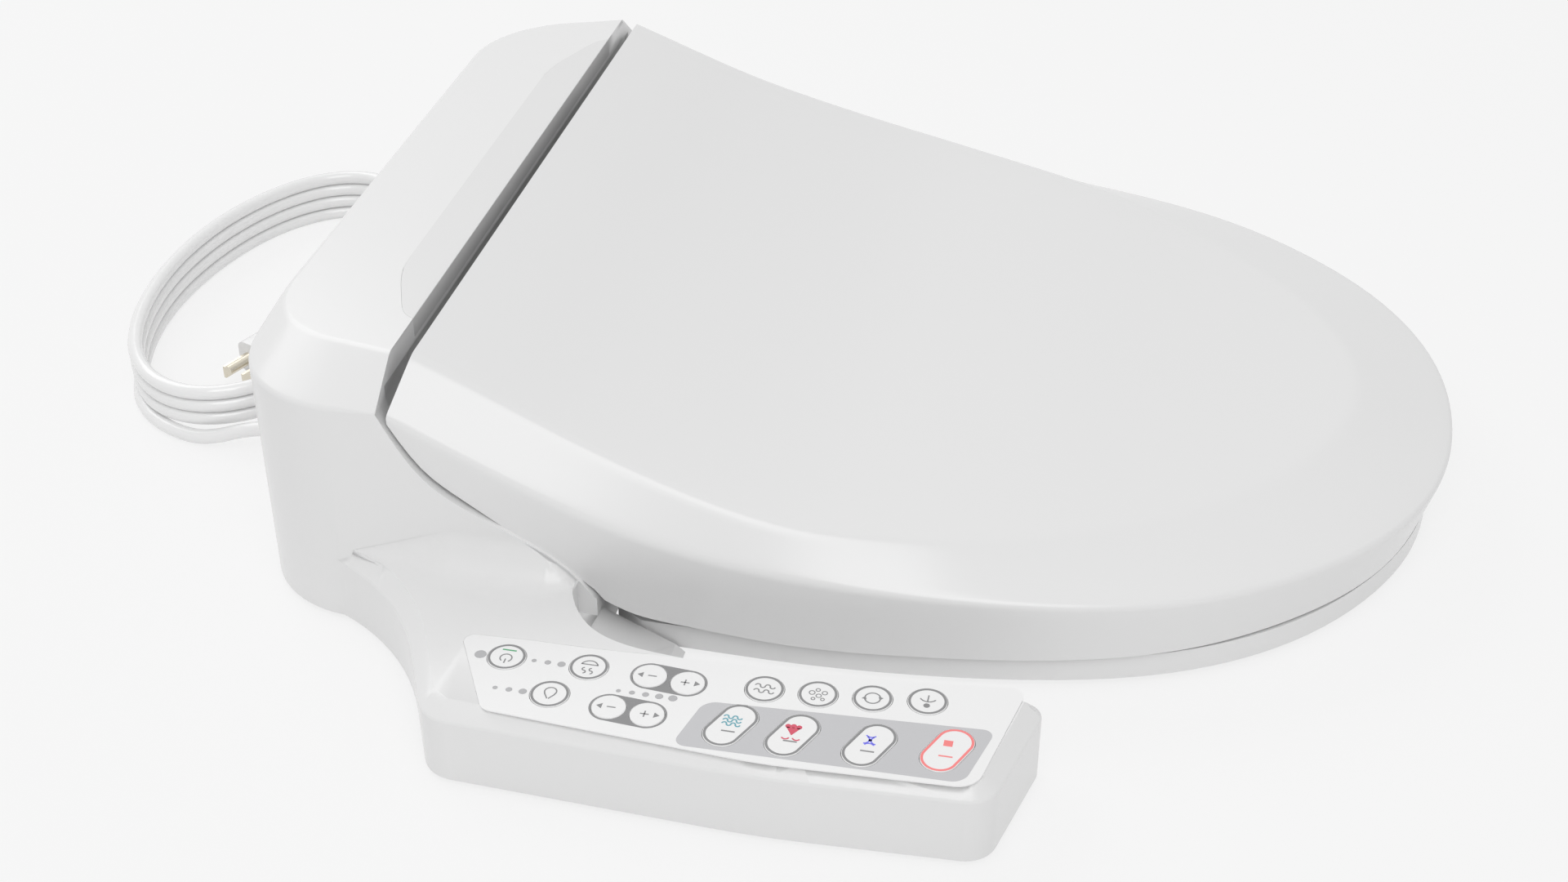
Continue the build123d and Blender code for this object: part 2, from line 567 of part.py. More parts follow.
def make_seat_heater():
    """Heating foil bonded under the top skin of the seat."""
    band = under_line(SEAT_TOP_LINE, WALL + 0.25, 200, 0) - under_line(SEAT_TOP_LINE, WALL + 0.85, 200, 0)
    ring = seat_plan(20) - seat_opening(13)
    band &= extrude(ring, amount=120)
    return band - bar(-200, 200, -158, 0, 0, 130)


def make_seat_bumpers():
    """Four rubber feet that carry the seat on the bowl."""
    feet = []
    for x, y in SEAT_BUMPERS:
        foot = rod_z(BUMPER_R, 0, SEAT_Z, x, y)
        feet.append(chamfer(foot.faces().sort_by(Axis.Z)[0].edges(), 0.8))
    return Compound(children=feet)


def make_lid_bumpers():
    """Four tapered pads under the lid that rest on the seat."""
    pads = []
    for x, y in LID_BUMPERS:
        low = max(height_on(SEAT_TOP_LINE, y + 5), height_on(SEAT_TOP_LINE, y - 5)) + 0.2
        high = height_on(LID_TOP_LINE, y - 7) - LID_WALL - 0.1
        high += 3
        pad = Pos(x, y, (low + high) / 2) * Cone(5.0, 7.0, high - low)
        pads.append(pad & under_line(LID_TOP_LINE, LID_WALL, 215, -30))
    return Compound(children=pads)


# ---------------------------------------------------------------- base and mounting
def pan_plan(inset):
    """Plan face of the base pan, inside the cover's wall."""
    gap = WALL + 0.3 + inset
    rear = housing_outline(SIDE_X - gap, SIDE_X - gap, REAR_Y - gap, REAR_CORNER_R - gap, WALL_FRONT_Y + gap, 0)
    nose_x, nose_y = CHEEK_IN_X - gap, CHEEK_FRONT_Y + gap
    nose = make_face(Polyline((-nose_x, nose_y), (nose_x, nose_y), (nose_x, 0), (-nose_x, 0), close=True))
    return rear + nose


def make_base_pan():
    """Tray that closes the housing from below, with bolt wells and stiffening ribs."""
    pan = Pos(0, 0, COVER_Z) * extrude(pan_plan(0), amount=6.1)
    pan -= Pos(0, 0, PAN_Z + 2.6) * extrude(pan_plan(2.4), amount=20)
    pan -= extrude(pan_plan(2.4), amount=PAN_Z)
    for y in (-82, -52, 30):
        pan += bar(-170, 170, y - 1, y + 1, PAN_Z + 1, PAN_Z + 6.5)
    for x in (-128, 128):
        pan += bar(x - 1, x + 1, -106, 40, PAN_Z + 1, PAN_Z + 6.5)
    for x in (-BOLT_SPACING / 2, BOLT_SPACING / 2):
        pan -= bar(x - 26, x + 26, -15, 15, -5, 30)
    return pan - rod_y(GLAND_R + 0.4, 30, 50, LEAD_EXIT[0], LEAD_EXIT[2])


def make_base_feet():
    """Rubber pads under the base pan."""
    pads = []
    for x, y in ((-158, 18), (158, 18), (-158, -92), (158, -92)):
        pad = rod_z(10, 0, PAN_Z - 0.05, x, y)
        pads.append(chamfer(pad.faces().sort_by(Axis.Z)[0].edges(), 0.8))
    return Compound(children=pads)


def make_mounting_plate():
    """Bracket that is bolted to the bowl; the base slides onto it from the front."""
    plate = extrude(RectangleRounded(212, 56, 10), amount=PLATE_T)
    for x in (-BOLT_SPACING / 2, BOLT_SPACING / 2):
        plate -= Pos(x, 0, -1) * extrude(SlotOverall(SLOT_L, SLOT_W), amount=10)
    for x in (-22, 0, 22):
        plate -= Pos(x, 0, -1) * extrude(SlotOverall(30, 10, rotation=90), amount=10)
    # catch for the release latch
    plate -= bar(96, 110, -6, 6, -1, 10)
    return plate


def make_arm_tray():
    """Plate that closes the control arm from below."""
    plate = Pos(0, 0, COVER_Z + 0.4) * extrude(grown(arm_outline(), -WALL - 0.25), amount=2.4)
    return plate & bar(-330, -SIDE_X - 0.9, -320, 40, -10, 60)


def make_release_button():
    """Push button on the left side that frees the seat from its bracket, with its latch rod."""
    y0, y1 = RELEASE_Y[0] + 0.4, RELEASE_Y[1] - 0.4
    z0, z1 = RELEASE_Z[0] + 0.4, RELEASE_Z[1] - 0.4
    cap = bar(184, 196.5, y0, y1, z0, z1)
    cap = fillet(cap.faces().sort_by(Axis.X)[-1].edges(), 1.2)
    return cap + rod_x(3.0, 172, 184, (y0 + y1) / 2, (z0 + z1) / 2)


def make_hinge_pins():
    """Two steel pins, one at each side, that carry both seat and lid."""
    pins = []
    for side in (-1, 1):
        pin = rod_x(HINGE_PIN_R, side * INNER_LUG_X[0], side * (LID_EYE_X[1] + 0.5), HINGE_Y, HINGE_Z)
        head = rod_x(6.5, side * (LID_EYE_X[1] + 0.5), side * (LID_EYE_X[1] + 2.5), HINGE_Y, HINGE_Z)
        pins.append(pin + head)
    return Compound(children=pins)


def make_damper(side):
    """Rotary soft-close damper on a hinge pin."""
    body = rod_x(7.6, side * DAMPER_X[0], side * DAMPER_X[1], HINGE_Y, HINGE_Z)
    body += bar(side * DAMPER_X[0], side * (DAMPER_X[0] + 8), HINGE_Y - 2, HINGE_Y + 2, 84, HINGE_Z - 4)
    return body - rod_x(HINGE_PIN_R + 0.02, side * 90, side * 130, HINGE_Y, HINGE_Z)


# ---------------------------------------------------------------- inside the housing
def along_nozzle(shape, x):
    """Place a shape modelled along +Z so that +Z runs from a nozzle's front end up its axis."""
    return Pos(x, *NOZZLE_TIP) * (Rot(-(90 - NOZZLE_TILT), 0, 0) * shape)


def make_nozzle(x):
    """Nozzle tube with its drive rack underneath."""
    tube = Pos(0, 0, 14 + (NOZZLE_L - 14) / 2) * Cylinder(NOZZLE_R, NOZZLE_L - 14)
    tube -= Pos(0, 0, 14 + (NOZZLE_L - 14) / 2) * Cylinder(NOZZLE_R - 2.0, NOZZLE_L)
    end = Pos(0, 0, NOZZLE_L - 3) * Cylinder(NOZZLE_R, 6)
    inlet = Pos(0, 0, NOZZLE_L + 5) * Cylinder(2.2, 10)
    return along_nozzle(tube + end + inlet, x)


def make_nozzle_tip(x, holes):
    """Closed, tapered nozzle tip with its spray holes on top."""
    tip = Pos(0, 0, 6.95) * Cylinder(NOZZLE_R, 13.9)
    tip = chamfer(tip.faces().sort_by(Axis.Z)[0].edges(), 3.0)
    for i in range(holes):
        tip -= Pos(0, NOZZLE_R - 1.5, 5 + 3.0 * i) * (Rot(90, 0, 0) * Cylinder(0.8, 6))
    return along_nozzle(tip, x)


def make_nozzle_bay():
    """Cradle that carries both nozzles on their slope, standing on the base pan."""
    block = Pos(0, 0, 62) * Box(2 * NOZZLE_X + 2 * NOZZLE_R + 9, 2 * NOZZLE_R + 7, 62)
    cradle = along_nozzle(block, 0)
    for x in (-NOZZLE_X, NOZZLE_X):
        cradle -= along_nozzle(Pos(0, 0, 60) * Cylinder(NOZZLE_R + 0.08, 220), x)
    for y in (-70, -28):
        cradle += bar(-16, 16, y - 1.5, y + 1.5, PAN_Z + 2.7, 30 + (y + 70) * 0.5)
    for x in (-NOZZLE_X, NOZZLE_X):
        cradle -= along_nozzle(Pos(0, 0, 60) * Cylinder(NOZZLE_R + 0.08, 220), x)
    return cradle


def make_nozzle_guard():
    """Front plate round the two nozzle mouths, set in the housing's window."""
    plate = bar(-NOZZLE_X - 8.7, NOZZLE_X + 8.7, CHEEK_FRONT_Y + 0.2, CHEEK_FRONT_Y + 2.6, 9.3, 30.7)
    for x in (-NOZZLE_X, NOZZLE_X):
        plate -= along_nozzle(Pos(0, 0, 0) * Cylinder(NOZZLE_R + 0.5, 60), x)
    return plate


def make_heater_tank():
    """Warm-water tank with its two pipe stubs and a clamped lid."""
    tank = bar(-164, -104, -18, 26, PAN_Z + 7, 96)
    tank = fillet(tank.edges().filter_by(Axis.Z), 10.0)
    tank += bar(-167, -101, -20.5, 28.5, 50, 54)
    for x in (-150, -118):
        tank += rod_z(4, 96, 108, x, 6)
    return tank


def make_blower_housing():
    """Spiral fan case of the warm-air dryer, open at the front."""
    x, y, z = BLOWER_AT
    case = rod_x(BLOWER_R + 6, x - 15, x + 15, y, z)
    case += bar(x - 15, x + 15, y - 44, y, z - BLOWER_R - 6, z - 6)
    case -= rod_x(BLOWER_R + 3, x - 12.5, x + 12.5, y, z)
    case -= bar(x - 12.5, x + 12.5, y - 50, y, z - BLOWER_R - 3.5, z - 8.5)
    return case - rod_x(12, x + 5, x + 20, y, z)


def make_blower_wheel():
    """Squirrel-cage wheel: a back plate, a hub and a ring of curved blades."""
    x, y, z = BLOWER_AT
    wheel = rod_x(BLOWER_R, x - 10, x - 8.4, y, z) + rod_x(5, x - 10, x + 6, y, z)
    ring = rod_x(BLOWER_R, x + 7, x + 9, y, z) - rod_x(BLOWER_R - 7, x + 5, x + 11, y, z)
    wheel += ring
    for i in range(16):
        blade = Pos(x - 0.6, 0, BLOWER_R - 3.6) * (Rot(32, 0, 0) * Box(16.6, 1.2, 6.4))
        wheel += Pos(0, y, z) * (Rot(360 * i / 16, 0, 0) * blade)
    return wheel


def make_dryer_duct():
    """Duct from the fan case to the dryer window."""
    x0, x1 = DRYER_X
    z0, z1 = DRYER_Z
    fan_x = BLOWER_AT[0]
    back_low, back_high = BLOWER_AT[2] - BLOWER_R - 6, BLOWER_AT[2] - 6
    mouth = Plane.XZ.offset(108.8) * Pos((x0 + x1) / 2, (z0 + z1) / 2) * Rectangle(x1 - x0, z1 - z0)
    tail = Plane.XZ.offset(58.3) * Pos(fan_x, (back_low + back_high) / 2) * Rectangle(30, back_high - back_low)
    mouth_in = Plane.XZ.offset(109) * Pos((x0 + x1) / 2, (z0 + z1) / 2) * Rectangle(x1 - x0 - 4, z1 - z0 - 4)
    tail_in = Plane.XZ.offset(58) * Pos(fan_x, (back_low + back_high) / 2) * Rectangle(26, back_high - back_low - 4)
    return loft([tail, mouth]) - loft([tail_in, mouth_in])


def make_dryer_flap():
    """Light flap over the dryer window, hung from its top edge."""
    x0, x1 = DRYER_X
    z0, z1 = DRYER_Z
    flap = bar(x0 + 0.6, x1 - 0.6, CHEEK_FRONT_Y - 2.2, CHEEK_FRONT_Y - 0.6, z0 + 0.5, z1 - 0.5)
    return flap + rod_x(1.4, x0 + 0.6, x1 - 0.6, CHEEK_FRONT_Y - 1.9, z1 - 0.5)


def make_water_inlet():
    """Threaded inlet on the left side, with its relief and its flange inside the wall."""
    stub = rod_x(INLET_R, SIDE_X + 1, SIDE_X + INLET_L, INLET_Y, INLET_Z)
    stub += rod_x(INLET_R - 1.2, 180, SIDE_X + 1, INLET_Y, INLET_Z)
    stub += rod_x(INLET_R + 3, 184, 190.5, INLET_Y, INLET_Z)
    stub = chamfer(stub.faces().sort_by(Axis.X)[-1].edges(), 1.0)
    return stub - rod_x(7.0, 184, 220, INLET_Y, INLET_Z)


def make_drain_cap():
    """Slotted screw cap of the tank drain."""
    cap = rod_x(DRAIN_R, 182, SIDE_X + 0.8, DRAIN_Y, DRAIN_Z)
    return cap - bar(SIDE_X - 1, SIDE_X + 3, DRAIN_Y - 6, DRAIN_Y + 6, DRAIN_Z - 0.8, DRAIN_Z + 0.8)


def make_solenoid_valve():
    """Inlet valve: body on the inlet's axis with its coil above."""
    body = rod_x(9, 140, 179.5, INLET_Y, INLET_Z) + rod_z(11, INLET_Z, 62, 158, INLET_Y)
    return body + bar(146, 170, INLET_Y - 12, INLET_Y + 12, 36, 56)


def make_main_board():
    """Main circuit board on the pan, under the housing's rear, with its larger parts."""
    board = bar(-50, 30, 8, 10, 14, 74)
    for x, z, w, h, d in ((-36, 60, 18, 14, 16), (-10, 58, 14, 18, 20), (14, 62, 12, 12, 10), (-30, 28, 22, 16, 12)):
        board += bar(x - w / 2, x + w / 2, 10, 10 + d, z - h / 2, z + h / 2)
    return board + bar(-44, -40, 6, 12, PAN_Z + 2.7, 20) + bar(20, 24, 6, 12, PAN_Z + 2.7, 20)


def make_panel_board():
    """Circuit board of the control arm with one switch under each key."""
    outline = grown(overlay_outline(0), -8)
    board = Pos(0, 0, 21.0) * extrude(outline, amount=1.6)
    for x, y, _ in key_places().values():
        board += bar(x - 2.6, x + 2.6, y - 2.6, y + 2.6, 22.6, 26.2)
        board += bar(x - 1.2, x + 1.2, y - 1.2, y + 1.2, 26.2, 28.2)
    return board


# ---------------------------------------------------------------- overlay and lights
def light_places():
    """Round lights of the panel: (x, y, radius)."""
    dots = [(-247.7, -81.1, 2.3)]
    for x, first_y in ((-247.1, -102.6), (-265.6, -92.9)):
        dots += [(x, first_y - 5.5 * i, 0.95 + 0.3 * i) for i in range(3)]
    dots += [(-257.7, -139.3 - 5.33 * i, 0.9 + 0.2 * i) for i in range(5)]
    return dots


def make_overlay():
    """Printed sheet in its bed on the arm, cut out for keys and lights."""
    sheet = Pos(0, 0, PANEL_Z - OVERLAY_T) * extrude(overlay_outline(0), amount=OVERLAY_T)
    for place in key_places().values():
        sheet -= Pos(0, 0, PANEL_Z - 2) * extrude(key_plan(place, 0.25), amount=4)
    for x, y, radius in light_places():
        sheet -= rod_z(radius + 0.05, PANEL_Z - 2, PANEL_Z + 2, x, y)
    return sheet


def make_lights():
    """Light windows, each filling its hole in the overlay."""
    return Compound(children=[rod_z(r, PANEL_Z - OVERLAY_T, PANEL_Z + 0.05, x, y) for x, y, r in light_places()])


# ---------------------------------------------------------------- mains lead
def make_gland():
    """Tapered strain relief where the lead leaves the rear wall."""
    x, y, z = LEAD_EXIT
    flange = rod_y(GLAND_R + 2.4, y + 0.1, y + 2.6, x, z)
    neck = rod_y(GLAND_R, y - 8, y + 0.1, x, z)
    taper = Pos(x, y + 2.6 + (GLAND_L - 2.6) / 2, z) * (Rot(-90, 0, 0) * Cone(GLAND_R, CORD_D / 2 + 0.9, GLAND_L - 2.6))
    return flange + neck + taper


def corner_radii(points):
    """Largest tangent arc at each corner: 0.45 of the shorter run over the tangent of half the turn."""
    radii = []
    for before, here, after in zip(points, points[1:], points[2:]):
        run_in, run_out = Vector(here) - Vector(before), Vector(after) - Vector(here)
        half_turn = radians(run_in.get_angle(run_out)) / 2
        radii.append(0.45 * min(run_in.length, run_out.length) / tan(half_turn))
    return radii


def make_cord(name, route):
    """Round cord along straight runs joined by tangent arcs."""
    radii = corner_radii(route)
    path = FilletPolyline(*route, radius=radii)
    start = Plane(origin=path @ 0, z_dir=path % 0)
    tube = sweep(start * Circle(CORD_D / 2), path=path)
    ideal = 3.14159265 * (CORD_D / 2) ** 2 * path.length
    print(name, "length", round(path.length, 1), "radii", [round(r) for r in radii],
          "volume ratio", round(tube.volume / ideal, 4))
    return tube


def make_coil():
    """Outer shape of the wound lead: an oval band, four turns high."""
    half_l, half_w = COIL_HALF
    grow = CORD_D / 2 + 0.3
    band = Ellipse(half_l + grow, half_w + grow) - Ellipse(half_l - grow, half_w - grow)
    height = COIL_TURNS * CORD_D + 0.4
    return Pos(*COIL_CENTRE, 0.1) * extrude(band, amount=height)


def make_plug():
    """Moulded plug body, lying on its side inside the coil."""
    x, y, z = TAIL_ROUTE[-1]
    body = Pos(0, 0, 19) * Box(17, 25, 26) + Pos(0, 0, 3) * Cone(5.0, 8.0, 6)
    body = fillet(body.edges().filter_by(Axis.Z), 4)
    direction = Vector(*TAIL_ROUTE[-1]) - Vector(*TAIL_ROUTE[-2])
    place = Plane(origin=(x, y, z), z_dir=direction, x_dir=(0, 0, 1))
    pins = Pos(0, -6.35, 40) * Box(6.3, 1.5, 16) + Pos(0, 6.35, 40) * Box(6.3, 1.5, 16)
    pins += Pos(4.5, 0, 41.5) * Cylinder(2.4, 19)
    return place.location * body, place.location * pins


# ---------------------------------------------------------------- all nodes
def build_all():
    """Every node of the seat by name."""
    plug_body, plug_pins = make_plug()
    lead, tail = make_cord("lead", LEAD_ROUTE), make_cord("tail", TAIL_ROUTE)
    nodes = {
        "top_cover": make_cover(), "base_pan": make_base_pan(), "base_feet": make_base_feet(),
        "arm_tray": make_arm_tray(), "mounting_plate": make_mounting_plate(),
        "display_lens": lens_form(0, 0.15), "control_overlay": make_overlay(), "panel_lights": make_lights(),
        "panel_board": make_panel_board(), "main_board": make_main_board(), "heater_tank": make_heater_tank(),
        "solenoid_valve": make_solenoid_valve(), "water_inlet": make_water_inlet(), "drain_cap": make_drain_cap(),
        "nozzle_bay": make_nozzle_bay(), "nozzle_guard": make_nozzle_guard(),
        "wash_nozzle": make_nozzle(-NOZZLE_X), "wash_nozzle_tip": make_nozzle_tip(-NOZZLE_X, 2),
        "bidet_nozzle": make_nozzle(NOZZLE_X), "bidet_nozzle_tip": make_nozzle_tip(NOZZLE_X, 3),
        "blower_housing": make_blower_housing(), "blower_wheel": make_blower_wheel(),
        "dryer_duct": make_dryer_duct(), "dryer_flap": make_dryer_flap(),
        "hinge_pins": make_hinge_pins(), "seat_damper": make_damper(1), "lid_damper": make_damper(-1),
        "release_button": make_release_button(),
        "seat_upper": make_seat_upper(), "seat_lower": make_seat_lower(), "seat_heater": make_seat_heater(),
        "seat_bumpers": make_seat_bumpers(), "lid_shell": make_lid(), "lid_bumpers": make_lid_bumpers(),
        "cord_gland": make_gland(), "cord_lead": lead, "cord_coil": make_coil() - lead - tail, "cord_tail": tail,
        "plug_body": plug_body, "plug_pins": plug_pins,
    }
    for name, place in key_places().items():
        nodes["key_" + name] = make_key(place)
    return nodes


if __name__ == "__main__":
    os.makedirs("parts", exist_ok=True)
    for node_name, shape in build_all().items():
        export_step(shape, f"parts/{node_name}.step")
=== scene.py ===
"""Looks of the electric bidet seat: shells, control panel, cord and studio."""

import json
import logging
import math
from dataclasses import dataclass, field
from enum import Enum
from typing import Optional, Sequence

import bmesh
import bpy
import numpy as np
from mathutils import Matrix, Vector


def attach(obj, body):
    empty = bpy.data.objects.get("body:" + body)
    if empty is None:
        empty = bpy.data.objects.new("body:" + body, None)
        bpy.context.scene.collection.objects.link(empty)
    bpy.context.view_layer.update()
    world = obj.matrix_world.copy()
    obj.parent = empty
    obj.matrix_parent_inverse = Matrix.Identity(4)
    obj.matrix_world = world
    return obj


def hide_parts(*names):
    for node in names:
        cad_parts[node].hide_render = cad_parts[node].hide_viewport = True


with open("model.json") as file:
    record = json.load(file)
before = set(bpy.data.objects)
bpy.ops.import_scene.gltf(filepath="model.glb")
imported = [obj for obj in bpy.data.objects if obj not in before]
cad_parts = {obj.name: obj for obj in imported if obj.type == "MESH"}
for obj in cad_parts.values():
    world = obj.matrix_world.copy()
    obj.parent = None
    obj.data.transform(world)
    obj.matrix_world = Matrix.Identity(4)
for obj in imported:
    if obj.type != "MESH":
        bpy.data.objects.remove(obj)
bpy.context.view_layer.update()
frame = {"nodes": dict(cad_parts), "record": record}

log = logging.getLogger("bidet_seat")
MM = 0.001
WELD = 0.00001
Point = tuple[float, float, float]
Flat = tuple[float, float]
Mesh = bmesh.types.BMesh


# ---- shader building
class Socket:
    """An output socket that can be used in Python sums."""

    def __init__(self, maker: "TreeMaker", out: bpy.types.NodeSocket) -> None:
        """Keep the maker and the socket."""
        self.maker = maker
        self.out = out

    def _math(self, operation: str, *terms: object) -> "Socket":
        """Add one Math node.

        Args:
            operation: Name of the operation.
            terms: Numbers or sockets, in order.

        Returns:
            The node's value.
        """
        return self.maker.node("ShaderNodeMath", {"operation": operation}, dict(enumerate(terms)))

    def __add__(self, other: object) -> "Socket":
        """Sum."""
        return self._math("ADD", self, other)

    __radd__ = __add__

    def __mul__(self, other: object) -> "Socket":
        """Product."""
        return self._math("MULTIPLY", self, other)

    def most(self, other: object) -> "Socket":
        """The greater of two values."""
        return self._math("MAXIMUM", self, other)

    def __sub__(self, other: object) -> "Socket":
        """Difference."""
        return self._math("SUBTRACT", self, other)


class TreeMaker:
    """Builds any node tree."""

    def __init__(self, tree: bpy.types.NodeTree) -> None:
        """Empty the tree.

        Args:
            tree: The tree.
        """
        self.tree = tree
        self.tree.nodes.clear()

    def put(self, value: object, target: bpy.types.NodeSocket) -> None:
        """Set an input.

        Args:
            value: A value, or a socket to link to it.
            target: The input.
        """
        if isinstance(value, Socket):
            self.tree.links.new(value.out, target)
        else:
            target.default_value = value

    def node(self, kind: str, settings: Optional[dict] = None, inputs: Optional[dict] = None,
             output: object = 0) -> Socket:
        """Add any node.

        Args:
            kind: The node's type.
            settings: Attributes, set first.
            inputs: Values or sockets by input name or number.
            output: Name or number of the output wanted.

        Returns:
            That output, wrapped.
        """
        made = self.tree.nodes.new(kind)
        for key, value in (settings or {}).items():
            setattr(made, key, value)
        for key, value in (inputs or {}).items():
            self.put(value, made.inputs[key])
        return Socket(self, made.outputs[output])

    def seen_rays(self) -> Socket:
        """Add up the rays that show the backdrop as it is.

        Returns:
            1 for camera, glossy and transmission rays, otherwise 0.
        """
        path = self.tree.nodes.new("ShaderNodeLightPath")
        total = Socket(self, path.outputs["Is Camera Ray"])
        for name in ("Is Glossy Ray", "Is Transmission Ray"):
            total = total.most(Socket(self, path.outputs[name]))
        return total


class ShaderMaker(TreeMaker):
    """Builds the node tree of one material."""

    def __init__(self, name: str) -> None:
        """Start an empty material with a Principled shader.

        Args:
            name: The material's name.
        """
        self.material = bpy.data.materials.new(name)
        self.material.use_nodes = True
        super().__init__(self.material.node_tree)
        self.output = self.tree.nodes.new("ShaderNodeOutputMaterial")
        self.shader = self.tree.nodes.new("ShaderNodeBsdfPrincipled")
        self.tree.links.new(self.shader.outputs[0], self.output.inputs[0])

    def place(self) -> Socket:
        """Object coordinates."""
        return self.node("ShaderNodeTexCoord", output="Object")

    def noise(self, place: Socket, scale: float, detail: float = 3.0) -> Socket:
        """Cloudy values from 0 to 1.

        Args:
            place: Coordinates.
            scale: Clouds per metre.
            detail: Layers of finer clouds.

        Returns:
            The value.
        """
        return self.node("ShaderNodeTexNoise", inputs={"Vector": place, "Scale": scale, "Detail": detail},
                         output="Fac")

    def feed(self, **values: object) -> None:
        """Set or link inputs of the Principled shader.

        Args:
            values: Value or socket by input name, with _ for a space.
        """
        for key, value in values.items():
            self.put(value, self.shader.inputs[key.replace("_", " ")])


@dataclass(frozen=True)
class Plastic:
    """Moulded plastic: colour, gloss and the faint unevenness of its surface."""

    name: str
    colour: Point
    roughness: float
    coat: float = 0.0
    ripple: float = 0.00004
    grain: float = 0.0
    tint: float = 0.012
    cloud_scale: float = 9.0
    fine_scale: float = 60.0
    grain_scale: float = 2600.0
    gloss_swing: float = 0.04
    coat_roughness: float = 0.08

    def build(self) -> bpy.types.Material:
        """Make the material.

        Returns:
            The finished material.
        """
        make = ShaderMaker(self.name)
        place = make.place()
        cloud = make.noise(place, self.cloud_scale, 2.0)
        shade = make.node("ShaderNodeMix", {"data_type": "RGBA"}, {
            0: cloud, 6: (*[max(0.0, c - self.tint) for c in self.colour], 1),
            7: (*[min(1.0, c + self.tint) for c in self.colour], 1)}, output=2)
        fine = make.noise(place, self.fine_scale)
        height = fine * self.ripple
        if self.grain:
            height = height + make.noise(place, self.grain_scale, 2.0) * self.grain
        bump = make.node("ShaderNodeBump", inputs={"Strength": 1.0, "Distance": 1.0, "Height": height})
        make.feed(Base_Color=shade, Roughness=self.roughness + (fine - 0.5) * self.gloss_swing, Normal=bump,
                  Coat_Weight=self.coat, Coat_Roughness=self.coat_roughness, IOR=1.5)
        return make.material


@dataclass(frozen=True)
class Metal:
    """Plain metal with fine brushing."""

    name: str
    colour: Point
    roughness: float = 0.3
    brushing: Point = (30.0, 900.0, 900.0)
    gloss_swing: float = 0.2

    def build(self) -> bpy.types.Material:
        """Make the material.

        Returns:
            The finished material.
        """
        make = ShaderMaker(self.name)
        stretched = make.node("ShaderNodeMapping", inputs={"Vector": make.place(), "Scale": self.brushing})
        lines = make.noise(stretched, 1.0)
        make.feed(Base_Color=(*self.colour, 1), Metallic=1.0,
                  Roughness=self.roughness + (lines - 0.5) * self.gloss_swing)
        return make.material


def printing_ink(name: str, *colour: float) -> Plastic:
    """Flat printing ink.

    Args:
        name: The material's name.
        colour: Red, green and blue.

    Returns:
        The finish.
    """
    return Plastic(name, colour, roughness=0.45, ripple=0.0)


class Finish(Enum):
    """Every finish on the seat."""

    SHELL = Plastic("shell_white", (0.75, 0.75, 0.75), 0.20, 0.25)
    LENS = Plastic("lens_white", (0.52, 0.52, 0.525), 0.12, 0.35)
    OVERLAY = Plastic("overlay_film", (0.93, 0.93, 0.93), 0.34, 0.0, 0.00001, 0.000002)
    KEY = Plastic("key_film", (0.93, 0.93, 0.93), 0.32, 0.0, 0.00001, 0.000002)
    PAN = Plastic("pan_plastic", (0.66, 0.66, 0.66), 0.45, 0.0, 0.00004, 0.000006)
    RUBBER = Plastic("white_rubber", (0.72, 0.72, 0.70), 0.6, 0.0, 0.00003, 0.000010)
    CORD = Plastic("cord_sheath", (0.90, 0.90, 0.90), 0.20, 0.35, 0.00001)
    BOARD = Plastic("board_lacquer", (0.03, 0.20, 0.09), 0.35)
    FAN = Plastic("fan_plastic", (0.03, 0.03, 0.03), 0.4)
    BUTTON = Plastic("button_plastic", (0.55, 0.55, 0.56), 0.35)
    INK_GREY = printing_ink("ink_grey", 0.28, 0.28, 0.285)
    INK_MID = printing_ink("ink_mid_grey", 0.50, 0.50, 0.51)
    INK_PALE = printing_ink("ink_pale_grey", 0.60, 0.60, 0.615)
    INK_RED = printing_ink("ink_red", 1.0, 0.26, 0.26)
    INK_BLUE = printing_ink("ink_blue", 0.22, 0.22, 0.95)
    INK_CRIMSON = printing_ink("ink_crimson", 0.72, 0.10, 0.16)
    INK_TEAL = printing_ink("ink_teal", 0.16, 0.42, 0.50)
    INK_GREEN = printing_ink("ink_green", 0.10, 0.42, 0.20)
    BRASS = Metal("nickelled_brass", (0.74, 0.69, 0.58))
    STEEL = Metal("steel", (0.62, 0.62, 0.63))
    FOIL = Metal("foil", (0.80, 0.80, 0.81), 0.35)

    @property
    def material(self) -> bpy.types.Material:
        """The built material, made on first use."""
        return bpy.data.materials.get(self.value.name) or self.value.build()


# ---- pieces
def place_object(name: str, data: bpy.types.ID) -> bpy.types.Object:
    """Make an object and put it in the scene.

    Args:
        name: Its name.
        data: Its mesh, curve, light or camera.

    Returns:
        The object.
    """
    made = bpy.data.objects.new(name, data)
    bpy.context.scene.collection.objects.link(made)
    return made


def add_piece(name: str, mesh: Mesh, finish: Finish, body: str,
              replaces: Sequence[str] = (), sharp: float = 40.0) -> bpy.types.Object:
    """Turn a bmesh into a finished piece in place.

    Args:
        name: The piece's name.
        mesh: Its shape, in metres, freed afterwards.
        finish: Its material.
        body: The body it moves with.
        replaces: CAD nodes it stands for.
        sharp: Edges over this angle, in degrees, stay sharp.

    Returns:
        The new object.
    """
    data = bpy.data.meshes.new(name)
    mesh.to_mesh(data)
    mesh.free()
    data.shade_smooth()
    data.set_sharp_from_angle(angle=math.radians(sharp))
    data.materials.append(finish.material)
    piece = place_object(name, data)
    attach(piece, body)
    if replaces:
        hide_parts(*replaces)
    log.info("%s: %d faces", name, len(data.polygons))
    return piece


